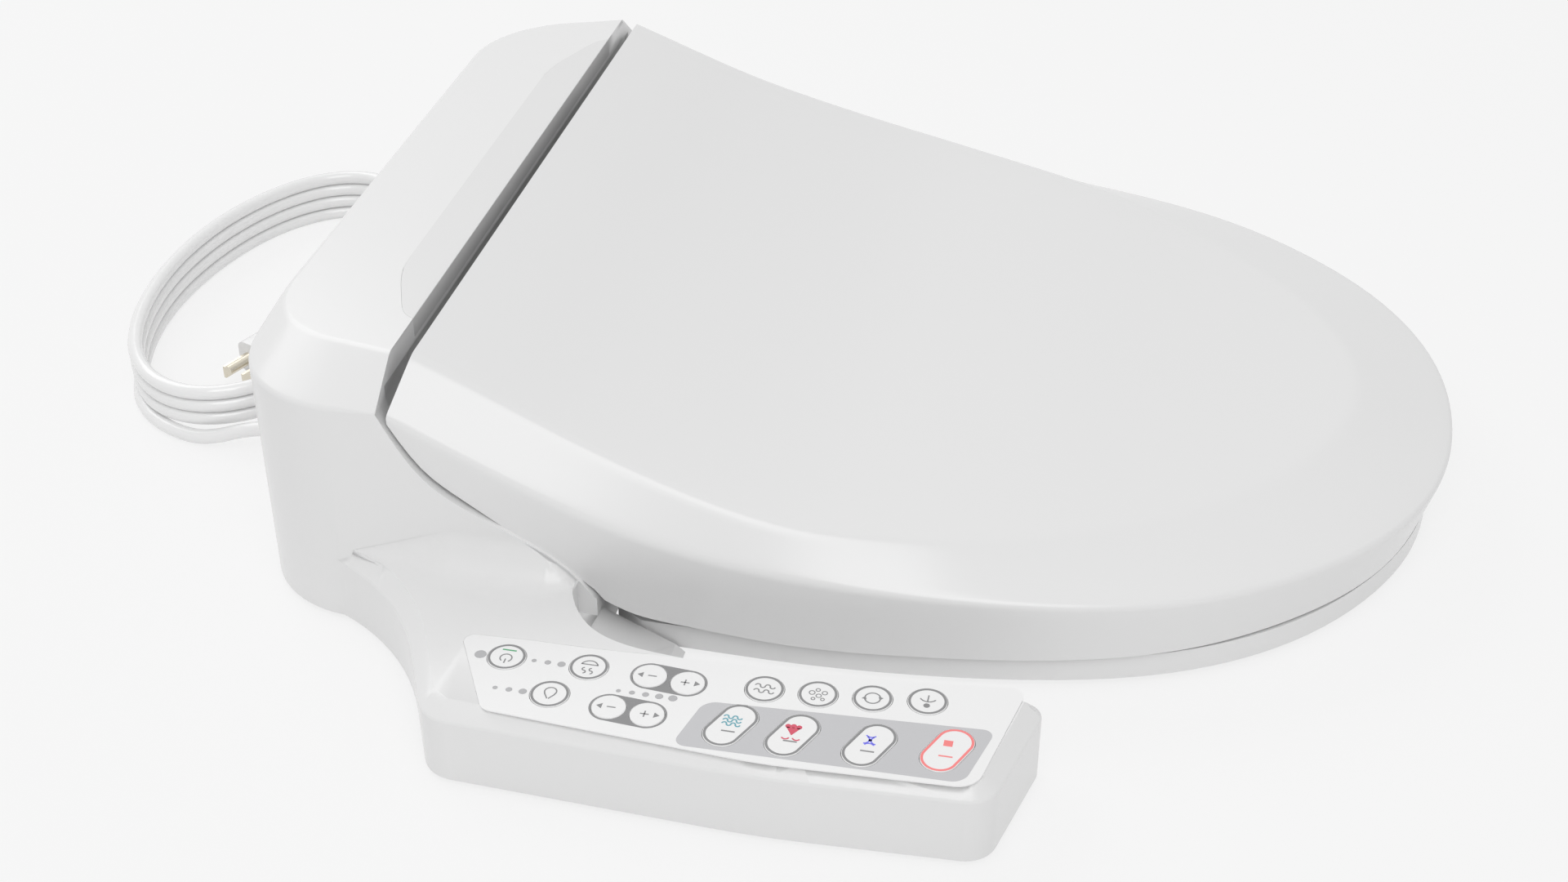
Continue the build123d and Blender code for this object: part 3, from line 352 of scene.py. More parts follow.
def thicken(mesh: Mesh, thick: float) -> None:
    """Turn flat faces upwards and give them a thickness.

    Args:
        mesh: Mesh of flat faces.
        thick: How far they stand up.
    """
    for face in mesh.faces:
        face.normal_update()
        if face.normal.z < 0:
            face.normal_flip()
    lift = bmesh.ops.extrude_face_region(mesh, geom=mesh.faces[:])["geom"]
    top = [part for part in lift if isinstance(part, bmesh.types.BMVert)]
    bmesh.ops.translate(mesh, verts=top, vec=(0, 0, thick))
    bmesh.ops.recalc_face_normals(mesh, faces=mesh.faces)


def settle(mesh: Mesh, place: Point) -> None:
    """Move a shape drawn in millimetres to its place and bring it to metres.

    Args:
        mesh: The shape.
        place: Where its origin goes, in millimetres.
    """
    bmesh.ops.translate(mesh, verts=mesh.verts, vec=place)
    bmesh.ops.scale(mesh, verts=mesh.verts, vec=(MM, MM, MM))


@dataclass
class Wardrobe:
    """Gives each CAD node that stays in view its finish."""

    finishes: dict[str, Finish] = field(default_factory=lambda: {
        "shell_white": Finish.SHELL, "lens_white": Finish.LENS, "overlay_white": Finish.OVERLAY,
        "lights": Finish.INK_MID, "pan_grey": Finish.PAN, "rubber_white": Finish.RUBBER,
        "board_green": Finish.BOARD, "valve_brass": Finish.BRASS, "foil": Finish.FOIL, "steel": Finish.STEEL,
        "tip_white": Finish.SHELL, "fan_black": Finish.FAN, "button_grey": Finish.BUTTON,
        "key_white": Finish.KEY, "cord_white": Finish.CORD, "pin_brass": Finish.BRASS})

    def dress(self) -> None:
        """Put the finish of its material slot on every CAD node."""
        slots = {row["node"]: row["material_slot"] for row in frame["record"]["subparts"]}
        for name, node in frame["nodes"].items():
            finish = self.finishes[slots[name]]
            node.data.materials.clear()
            node.data.materials.append(finish.material)


# ---- mains lead
@dataclass
class MainsLead:
    """The lead: out of the rear wall, four stacked oval turns and in to the plug.

    Lengths are in millimetres, wound is in degrees, and length, the cord's own in metres, is not used.
    """

    diameter: float = 7.0
    lead: tuple[Point, ...] = ((-82, 72, 14), (-82, 83, 14), (-82, 95, 11), (-82.3, 107, 6.4),
                               (-81.6, 119, 3.8), (-77.6, 133, 3.6), (-69.5, 146.5, 3.6), (-58, 158, 3.6))
    tail: tuple[Point, ...] = ((96, 68.5, 24.6), (76, 71, 23.5), (58, 77, 18), (42, 86, 11),
                               (26, 95.5, 9), (10, 102, 9))
    centre: Flat = (39.0, 122.0)
    half: Flat = (114.0, 62.0)
    spread: float = 1.0194
    wander: float = 0.004
    wander_rate: float = 2.3
    off_floor: float = 0.1
    wound: float = 1320.0
    climb_from: float = 0.86
    top_layer: float = 3.0
    per_turn: int = 16
    length: float = 2.211
    round_steps: int = 5
    path_steps: int = 8

    def turn_points(self) -> list[Point]:
        """Control points of the stacked turns.

        Returns:
            Points in millimetres, from the lead's side round to the tail's start.
        """
        points = []
        step = 360.0 / self.per_turn
        for i in range(2, round(self.wound / step)):
            angle = math.radians(180.0 - step * i)
            layer = (step * i + 90.0) / 360.0
            climb = min(1.0, max(0.0, (layer % 1.0 - self.climb_from) / (1.0 - self.climb_from)))
            layer = min(self.top_layer, math.floor(layer) + climb)
            height = self.diameter / 2 + self.off_floor + self.diameter * layer
            reach = self.spread * (1.0 + self.wander * math.sin(self.wander_rate * i))
            points.append((self.centre[0] + self.half[0] * reach * math.cos(angle),
                           self.centre[1] + self.half[1] * reach * math.sin(angle), height))
        return points

    def build(self) -> bpy.types.Object:
        """Lay the cord as one smooth spline.

        Returns:
            The cord's curve object.
        """
        points = [*self.lead, *self.turn_points(), *self.tail]
        data = bpy.data.curves.new("mains_lead", "CURVE")
        data.dimensions = "3D"
        data.bevel_depth = self.diameter / 2 * MM
        data.bevel_resolution = self.round_steps
        data.resolution_u = self.path_steps
        data.use_fill_caps = True
        spline = data.splines.new("NURBS")
        spline.points.add(len(points) - 1)
        for place, point in zip(spline.points, points):
            place.co = (*[c * MM for c in point], 1.0)
        spline.order_u = 3
        spline.use_endpoint_u = True
        data.materials.append(Finish.CORD.material)
        cord = place_object("mains_lead", data)
        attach(cord, "base")
        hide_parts("cord_lead", "cord_coil", "cord_tail")
        return cord


# ---- smooth lines
class SmoothLine:
    """A smooth curve through flat points, read by place or by angle."""

    def __init__(self, points: Sequence[Flat], mirrored: bool = False) -> None:
        """Fit a cubic through the points, spaced by their distances.

        Args:
            points: The points, in millimetres.
            mirrored: True for a half outline that ends square on the middle line.
        """
        knots = list(points)
        if mirrored:
            knots += [(-x, y) for x, y in reversed(points[:-1])]
        path = np.array(knots, float)
        run = np.r_[0, np.cumsum(np.hypot(*np.diff(path, axis=0).T))]
        count = len(run)
        width = np.diff(run)
        system, known = np.eye(count), np.zeros((count, 2))
        for i in range(1, count - 1):
            system[i, i - 1:i + 2] = width[i - 1], 2 * (width[i - 1] + width[i]), width[i]
            known[i] = 6 * ((path[i + 1] - path[i]) / width[i] - (path[i] - path[i - 1]) / width[i - 1])
        curve = np.linalg.solve(system, known)
        end = run[len(points) - 1]
        samples = []
        for t in np.linspace(0, end, 600):
            i = min(int(np.searchsorted(run, t, side="right")) - 1, count - 2)
            a, b, w = run[i + 1] - t, t - run[i], width[i]
            bend = (curve[i] * a ** 3 + curve[i + 1] * b ** 3) / (6 * w)
            samples.append(bend + (path[i] / w - curve[i] * w / 6) * a
                           + (path[i + 1] / w - curve[i + 1] * w / 6) * b)
        self.samples = np.array(samples)

    def across(self, place: float, by: int = 0) -> float:
        """The other coordinate where the line passes a place.

        Args:
            place: The known coordinate.
            by: 0 or 1, the coordinate that is known.

        Returns:
            The other coordinate.
        """
        known, other = self.samples[:, by], self.samples[:, 1 - by]
        order = np.argsort(known)
        return float(np.interp(place, known[order], other[order]))

    def reach(self, angle: float, middle: float) -> float:
        """Distance from (0, middle) to the line.

        Args:
            angle: Direction, in radians, from straight sideways towards the tip.
            middle: Y of the point looked from.

        Returns:
            The distance.
        """
        x, y = self.samples[:, 0], middle - self.samples[:, 1]
        angles = np.arctan2(y, x)
        order = np.argsort(angles)
        return float(np.interp(angle, angles[order], np.hypot(x, y)[order]))


def rounded(corner: Sequence[Sequence[float]], radius: float, count: int = 5) -> list[Vector]:
    """Points of a soft corner.

    Args:
        corner: The point before, the corner and the point after.
        radius: How far from the corner the softness starts.
        count: Number of points.

    Returns:
        Points along the soft corner.
    """
    before, here, after = (Vector(p) for p in corner)
    start = here + (before - here).normalized() * min(radius, (before - here).length * 0.45)
    end = here + (after - here).normalized() * min(radius, (after - here).length * 0.45)
    steps = [i / (count - 1) for i in range(count)]
    return [start * (1 - t) ** 2 + here * 2 * t * (1 - t) + end * t ** 2 for t in steps]


def skin(rows: Sequence[Sequence[Vector]]) -> Mesh:
    """Bridge rows of points into one sheet of quads.

    Args:
        rows: Rows with the same number of points, in millimetres.

    Returns:
        The sheet, in metres.
    """
    mesh = bmesh.new()
    loops = [[mesh.verts.new(Vector(point) * MM) for point in row] for row in rows]
    for one, other in zip(loops, loops[1:]):
        for corners in zip(one, one[1:], other[1:], other):
            mesh.faces.new(corners)
    bmesh.ops.remove_doubles(mesh, verts=mesh.verts, dist=WELD)
    bmesh.ops.recalc_face_normals(mesh, faces=mesh.faces)
    return mesh


# ---- lid
@dataclass
class Lid:
    """The sloping lid: flat top, bevel all round and a skirt."""

    top_line: tuple[Flat, ...] = (
        (-20, 128.2), (-63, 110), (-90, 98.6), (-117, 88.7), (-144, 80.2), (-171, 73), (-198, 67.6),
        (-225, 64.2), (-279, 59.2), (-333, 55), (-412.7, 52.3), (-470, 51.6))
    crease: tuple[Flat, ...] = (
        (170.2, -20), (175.8, -90), (181.4, -144), (182.6, -171), (181, -198), (175, -225),
        (157.2, -279), (125.9, -333), (72.2, -387), (0, -412.7))
    edge: tuple[Flat, ...] = (
        (193, -20), (195.3, -90), (196.2, -150), (194.7, -204), (190, -252), (182, -299),
        (166.5, -346), (136, -393), (101, -426), (58, -448), (0, -457))
    edge_line: tuple[Flat, ...] = (
        (-20, 110), (-71, 85.5), (-120, 66.5), (-171, 55), (-220, 49.6), (-299, 45.2), (-377, 43),
        (-470, 39.5))
    cheek_line: tuple[Flat, ...] = (
        (-25.6, 108.5), (-30.4, 98.9), (-35.9, 89.2), (-42.9, 79.9), (-56.9, 69.2), (-109.9, 33.4))
    side_line: tuple[Flat, ...] = ((-113.9, 27.5), (-124, 23), (-148, 19.6), (-187, 16.6), (-236, 16))
    middle: float = -225.0
    rear: float = -33.4
    rear_corner: float = -28.8
    skirt: float = 16.0
    wall: float = 3.0
    crease_softness: float = 3.2
    edge_softness: float = 2.6
    draft: float = 0.10
    tip_draft: float = 0.22
    along: int = 48
    round_tip: int = 56
    across_top: int = 14
    across_bevel: int = 8
    down_skirt: int = 5
    eye: Point = (163.0, -48.4, 104.0)
    eye_radius: float = 8.2
    eye_width: float = 10.0
    web: Point = (10.0, 14.0, 6.0)
    web_height: float = 108.5

    def __post_init__(self) -> None:
        """Fit the lines."""
        self.top = SmoothLine(self.top_line)
        self.edge_height = SmoothLine(self.edge_line)
        self.crease_plan = SmoothLine(self.crease, mirrored=True)
        self.edge_plan = SmoothLine(self.edge, mirrored=True)
        self.cheek = SmoothLine(self.cheek_line)
        self.side = SmoothLine(self.side_line)

    def lower_edge(self, y: float) -> float:
        """Height of the skirt's lower edge.

        Args:
            y: Place along the side.

        Returns:
            Its height.
        """
        if y > self.cheek_line[-1][0]:
            return self.cheek.across(y)
        if y > self.side_line[0][0]:
            part = (self.cheek_line[-1][0] - y) / (self.cheek_line[-1][0] - self.side_line[0][0])
            return self.cheek_line[-1][1] * (1 - part) + self.side_line[0][1] * part
        return self.side.across(y) if y > self.side_line[-1][0] else self.skirt

    def section(self, inner: Flat, crease: Flat, edge: Flat, draft: float, out: Flat) -> list[Vector]:
        """One section from the middle of the top to the skirt's lower edge.

        Args:
            inner: Start of the section in plan.
            crease: Crease in plan.
            edge: Outer edge in plan.
            draft: Inward lean of the skirt.
            out: Outward direction in plan.

        Returns:
            Its points.
        """
        crest = Vector((*crease, self.top.across(crease[1])))
        rim = Vector((*edge, self.edge_height.across(edge[1])))
        foot_z = self.lower_edge(edge[1])
        lean = draft * (rim.z - foot_z)
        foot = Vector((rim.x - out[0] * lean, rim.y - out[1] * lean, foot_z))
        last = Vector((inner[0] * 0.1 + crease[0] * 0.9, inner[1] * 0.1 + crease[1] * 0.9, 0))
        last.z = self.top.across(last.y)
        bent = rounded((last, crest, rim), self.crease_softness)
        turned_in = rounded((crest, rim, foot), self.edge_softness)
        made = []
        for i in range(self.across_top):
            t = i / self.across_top
            x, y = inner[0] + (bent[0].x - inner[0]) * t, inner[1] + (bent[0].y - inner[1]) * t
            made.append(Vector((x, y, self.top.across(y))))
        made += bent
        made += [bent[-1].lerp(turned_in[0], i / self.across_bevel) for i in range(1, self.across_bevel)]
        made += turned_in
        made += [turned_in[-1].lerp(foot, i / self.down_skirt) for i in range(1, self.down_skirt + 1)]
        return made

    def half_sections(self) -> list[list[Vector]]:
        """Sections of one half, from the rear edge to the tip.

        Returns:
            Rows of points.
        """
        rows = []
        for i in range(self.along):
            t = i / self.along
            flat_y = self.rear + (self.middle - self.rear) * t
            edge_y = self.rear_corner + (self.middle - self.rear_corner) * t
            rows.append(self.section((0, flat_y), (self.crease_plan.across(flat_y, 1), flat_y),
                                     (self.edge_plan.across(edge_y, 1), edge_y), self.draft, (1, 0)))
        for i in range(self.round_tip + 1):
            t = i / self.round_tip
            angle = math.radians(90 * t)
            out = (math.cos(angle), -math.sin(angle))
            near, far = (plan.reach(angle, self.middle) for plan in (self.crease_plan, self.edge_plan))
            rows.append(self.section((0, self.middle), (near * out[0], self.middle + near * out[1]),
                                     (far * out[0], self.middle + far * out[1]),
                                     self.draft + self.tip_draft * t ** 1.5, out))
        return rows

    def shell(self) -> Mesh:
        """The lid's moulding with its wall.

        Returns:
            The mesh.
        """
        half = self.half_sections()
        other = [[Vector((-p.x, p.y, p.z)) for p in row] for row in reversed(half[:-1])]
        mesh = skin(half + other)
        if sum(face.normal.z * face.calc_area() for face in mesh.faces) < 0:
            bmesh.ops.reverse_faces(mesh, faces=mesh.faces)
        bmesh.ops.solidify(mesh, geom=mesh.faces[:], thickness=self.wall * MM)
        bmesh.ops.recalc_face_normals(mesh, faces=mesh.faces)
        return mesh

    def hinge_eyes(self) -> Mesh:
        """The two eyes under the rear edge, with their webs.

        Returns:
            The mesh.
        """
        mesh = bmesh.new()
        x, y, z = (c * MM for c in self.eye)
        for side in (-1, 1):
            eye = bmesh.ops.create_cone(mesh, cap_ends=True, segments=40, radius1=self.eye_radius * MM,
                                        radius2=self.eye_radius * MM, depth=self.eye_width * MM)["verts"]
            bmesh.ops.rotate(mesh, verts=eye, matrix=Matrix.Rotation(math.pi / 2, 3, "Y"))
            bmesh.ops.translate(mesh, verts=eye, vec=(side * x, y, z))
            web = bmesh.ops.create_cube(mesh, size=1.0)["verts"]
            bmesh.ops.scale(mesh, verts=web, vec=[c * MM for c in self.web])
            bmesh.ops.translate(mesh, verts=web, vec=(side * x, y, self.web_height * MM))
        return mesh

    def build(self) -> None:
        """Make the lid's pieces."""
        add_piece("lid_moulding", self.shell(), Finish.SHELL, "lid", ("lid_shell",), sharp=50)
        add_piece("lid_hinge_eyes", self.hinge_eyes(), Finish.SHELL, "lid")


# ---- soft mouldings
@dataclass(frozen=True)
class Softening:
    """One round of softening: how wide, and which edges by angle and by place in a box."""

    width: float
    least: float
    most: float
    low: Point
    high: Point

    def takes(self, edge: bmesh.types.BMEdge) -> bool:
        """Whether an edge is among those to soften.

        Args:
            edge: The edge.

        Returns:
            True when its angle and its middle are in range.
        """
        if len(edge.link_faces) != 2:
            return False
        spot = (edge.verts[0].co + edge.verts[1].co) / (2 * MM)
        inside = all(a <= c <= b for a, c, b in zip(self.low, spot, self.high))
        return inside and self.least <= math.degrees(edge.calc_face_angle(0)) <= self.most


@dataclass
class SoftMoulding:
    """A moulding carried over from the CAD with its outside edges rounded."""

    node: str
    body: str
    passes: tuple[Softening, ...]
    middle: Point = (0.0, 10.0, 40.0)
    finish: Finish = Finish.SHELL
    material_slot: str = "shell_white"
    shortest_edge: float = 0.3
    flat_within: float = 0.5
    joined_within: float = 12.0
    joined_shape: float = 60.0
    rounding_steps: int = 4
    sharp: float = 32.0

    def faces_out(self, edge: bmesh.types.BMEdge) -> bool:
        """Whether an edge lies on the outside of the moulding.

        Args:
            edge: The edge.

        Returns:
            True when both faces look away from the middle.
        """
        spot = (edge.verts[0].co + edge.verts[1].co) / 2 - Vector(self.middle) * MM
        return all(face.normal.dot(spot) > 0 or face.normal.z > 0.9 for face in edge.link_faces)

    def build(self) -> None:
        """Copy the node, soften it and let it stand for the node."""
        mesh = bmesh.new()
        mesh.from_mesh(frame["nodes"][self.node].data)
        bmesh.ops.remove_doubles(mesh, verts=mesh.verts, dist=WELD)
        bmesh.ops.dissolve_degenerate(mesh, dist=self.shortest_edge * MM, edges=mesh.edges[:])
        bmesh.ops.dissolve_limit(mesh, angle_limit=math.radians(self.flat_within), verts=mesh.verts,
                                 edges=mesh.edges)
        bmesh.ops.join_triangles(mesh, faces=mesh.faces[:],
                                 angle_face_threshold=math.radians(self.joined_within),
                                 angle_shape_threshold=math.radians(self.joined_shape))
        for softening in self.passes:
            chosen = [edge for edge in mesh.edges if softening.takes(edge) and self.faces_out(edge)]
            log.info("%s: %d edges rounded by %.1f mm", self.node, len(chosen), softening.width)
            if chosen:
                bmesh.ops.bevel(mesh, geom=chosen, offset=softening.width * MM, offset_type="WIDTH",
                                affect="EDGES", segments=self.rounding_steps, profile=0.5, material=-1,
                                clamp_overlap=False)
        piece = add_piece(self.node + "_moulding", mesh, self.finish, self.body,
                          (self.node,), sharp=self.sharp)
        weigh = piece.modifiers.new("even_normals", "WEIGHTED_NORMAL")
        weigh.keep_sharp = True


# ---- turned fittings
def turned(profile: Sequence[Flat], along: str, place: Point, steps: int = 48) -> Mesh:
    """Turn a profile round an axis.

    Args:
        profile: Points of (distance along the axis, radius), in millimetres.
        along: "X" or "Y", the axis.
        place: Start of the axis.
        steps: Sides of the turned shape.

    Returns:
        The closed mesh, in metres.
    """
    mesh = bmesh.new()
    corners = [mesh.verts.new((run, radius, 0)) for run, radius in profile]
    edges = [mesh.edges.new(pair) for pair in zip(corners, corners[1:])]
    bmesh.ops.spin(mesh, geom=[*corners, *edges], cent=(0, 0, 0), axis=(1, 0, 0), dvec=(0, 0, 0),
                   angle=2 * math.pi, steps=steps, use_merge=True)
    bmesh.ops.remove_doubles(mesh, verts=mesh.verts, dist=0.001)
    bmesh.ops.recalc_face_normals(mesh, faces=mesh.faces)
    if along == "Y":
        bmesh.ops.rotate(mesh, verts=mesh.verts, matrix=Matrix.Rotation(math.pi / 2, 3, "Z"))
    settle(mesh, place)
    return mesh


@dataclass
class Fittings:
    """Strain relief of the lead and threaded water inlet."""

    exit: Point = (-82.0, 46.0, 14.0)
    gland_radius: float = 6.2
    gland_long: float = 26.0
    gland_end: float = 4.4
    flange_radius: float = 8.6
    groove: float = 0.9
    ribs: int = 6
    inlet: Point = (0.0, -11.5, 24.0)
    bore: float = 7.0
    neck: float = 9.2
    collar: float = 13.4
    thread_radius: float = 10.4
    thread_depth: float = 1.1
    thread_from: float = 195.0
    thread_to: float = 206.2
    pitch: float = 1.8

    def strain_relief(self) -> None:
        """Flange and tapered sleeve with cut rings."""
        radius, rim = self.gland_radius, self.flange_radius
        profile = [(-8.0, 0.0), (-8.0, radius), (0.2, radius), (0.2, rim - 0.4), (0.6, rim), (2.2, rim),
                   (2.6, rim - 0.5), (2.7, radius)]
        step = (self.gland_long - 5.0) / self.ribs
        for i in range(self.ribs):
            start = 4.0 + step * i
            outer = radius - 0.1 + (self.gland_end - radius + 0.1) * i / self.ribs
            cut = outer - self.groove
            profile += [(start, outer), (start + 0.2, cut), (start + 1.2, cut), (start + 1.4, outer - 0.1)]
        profile += [(self.gland_long - 0.4, self.gland_end), (self.gland_long, self.gland_end - 0.4),
                    (self.gland_long, 0.0)]
        add_piece("strain_relief", turned(profile, "Y", self.exit), Finish.CORD, "base",
                  ("cord_gland",), sharp=35)

    def water_inlet(self) -> None:
        """Brass stub with its thread, relief and flange."""
        bore, neck, crest = self.bore, self.neck, self.thread_radius
        profile = [(180.0, bore), (180.0, neck), (184.0, neck), (184.0, self.collar), (190.5, self.collar),
                   (190.5, neck), (self.thread_from, neck)]
        for i in range(int((self.thread_to - self.thread_from) / self.pitch)):
            start = self.thread_from + self.pitch * i
            profile += [(start, crest - self.thread_depth), (start + 0.35 * self.pitch, crest),
                        (start + 0.6 * self.pitch, crest)]
        profile += [(self.thread_to, crest - self.thread_depth), (207.0, neck + 0.1), (207.0, bore),
                    (180.0, bore)]
        add_piece("water_inlet_thread", turned(profile, "X", self.inlet), Finish.BRASS, "base",
                  ("water_inlet",), sharp=25)

    def build(self) -> None:
        """Make both fittings."""
        self.strain_relief()
        self.water_inlet()


# ---- control panel
def turn_and_move(mesh: Mesh, verts: list[bmesh.types.BMVert], x: float, y: float, turn: float) -> None:
    """Turn new corners round the origin and move them flat to their place.

    Args:
        mesh: Mesh that holds them.
        verts: The corners.
        x: How far they move.
        y: The same along Y.
        turn: Degrees, leftwards.
    """
    bmesh.ops.rotate(mesh, verts=verts, matrix=Matrix.Rotation(math.radians(turn), 3, "Z"))
    bmesh.ops.translate(mesh, verts=verts, vec=(x, y, 0))


class Glyph:
    """Flat marks drawn in a small local frame: u to the reader's right, v upwards, in millimetres."""

    thick = 0.05

    def __init__(self, key: str, place: Point) -> None:
        """Start an empty mark.

        Args:
            key: The key it is printed on.
            place: The mark's middle on the key's top.
        """
        self.mesh = bmesh.new()
        self.key, self.place = key, place

    def disc(self, u: float, v: float, radius: float) -> "Glyph":
        """Add a filled round spot."""
        made = bmesh.ops.create_circle(self.mesh, cap_ends=True, segments=24, radius=radius)["verts"]
        turn_and_move(self.mesh, made, u, v, 0)
        return self

    def stroke(self, u: float, v: float, long: float, wide: float, turn: float = 0.0) -> "Glyph":
        """Add a straight stroke round its middle."""
        made = bmesh.ops.create_grid(self.mesh, x_segments=1, y_segments=1, size=0.5)["verts"]
        bmesh.ops.scale(self.mesh, verts=made, vec=(long, wide, 1))
        turn_and_move(self.mesh, made, u, v, turn)
        return self

    def wedge(self, u: float, v: float, long: float, wide: float, turn: float = 0.0) -> "Glyph":
        """Add an arrow head that points to the right before it is turned."""
        made = bmesh.ops.create_circle(self.mesh, cap_ends=True, segments=3, radius=1.0)["verts"]
        bmesh.ops.rotate(self.mesh, verts=made, matrix=Matrix.Rotation(math.radians(-90), 3, "Z"))
        bmesh.ops.scale(self.mesh, verts=made, vec=(long / 1.5, wide / 1.732, 1))
        turn_and_move(self.mesh, made, u, v, turn)
        return self

    def arc(self, u: float, v: float, radius: float, start: float, sweep: float, wide: float) -> "Glyph":
        """Add a curved stroke.

        Args:
            u: Middle of the circle.
            v: The same, upwards.
            radius: Radius to the middle of the stroke.
            start: First direction in degrees.
            sweep: Degrees gone through, leftwards.
            wide: Width of the stroke.

        Returns:
            This mark.
        """
        first = math.radians(start)
        ends = [self.mesh.verts.new((u + reach * math.cos(first), v + reach * math.sin(first), 0))
                for reach in (radius - wide / 2, radius + wide / 2)]
        edge = self.mesh.edges.new(ends)
        bmesh.ops.spin(self.mesh, geom=[*ends, edge], cent=(u, v, 0), axis=(0, 0, 1), dvec=(0, 0, 0),
                       angle=math.radians(sweep), steps=max(3, int(abs(sweep) / 12)))
        return self

    def wave(self, u: float, v: float, step: float, humps: int, wide: float) -> "Glyph":
        """Add a wavy stroke of half circles, centred on (u, v)."""
        first = u - step * (humps - 1) / 2
        for i in range(humps):
            self.arc(first + step * i, v, step / 2, 0 if i % 2 == 0 else 180, 180, wide)
        return self

    def add(self, ink: Finish = Finish.INK_GREY, name: str = "") -> None:
        """Give the mark its thickness and make it a piece that moves with its key.

        Args:
            ink: Its ink.
            name: The piece's name, if it isn't the key's own symbol.
        """
        mesh = self.mesh
        bmesh.ops.remove_doubles(mesh, verts=mesh.verts, dist=0.001)
        bmesh.ops.recalc_face_normals(mesh, faces=mesh.faces)
        thicken(mesh, self.thick)
        bmesh.ops.rotate(mesh, verts=mesh.verts, matrix=Matrix.Rotation(math.pi / 2, 3, "Z"))
        settle(mesh, self.place)
        add_piece(name or "symbol_" + self.key, mesh, ink, f"key_{self.key}_body", sharp=30)


def slot_loop(mesh: Mesh, x: float, y: float, radius: float, half: float, turn: float) -> None:
    """Draw a round or long closed outline.

    Args:
        mesh: Mesh that receives it.
        x: Middle of the outline.
        y: The same along Y.
        radius: Radius of its ends.
        half: Half distance between the two end centres.
        turn: Degrees from X.
    """
    verts = bmesh.ops.create_circle(mesh, segments=64, radius=radius)["verts"]
    for side in (-1, 1):
        end = [vert for vert in verts if vert.co.x * side > 0.0001]
        bmesh.ops.translate(mesh, verts=end, vec=(side * half, 0, 0))
    turn_and_move(mesh, verts, x, y, turn)


def film(mesh: Mesh, z: float, thick: float) -> None:
    """Fill between the outlines in a mesh and give the film its thickness, in metres.

    Args:
        mesh: Mesh that holds the outlines as edges.
        z: Height of the surface under the film.
        thick: The film's thickness.
    """
    bmesh.ops.triangle_fill(mesh, use_beauty=True, use_dissolve=False, edges=mesh.edges[:])
    thicken(mesh, thick)
    settle(mesh, (0, 0, z))


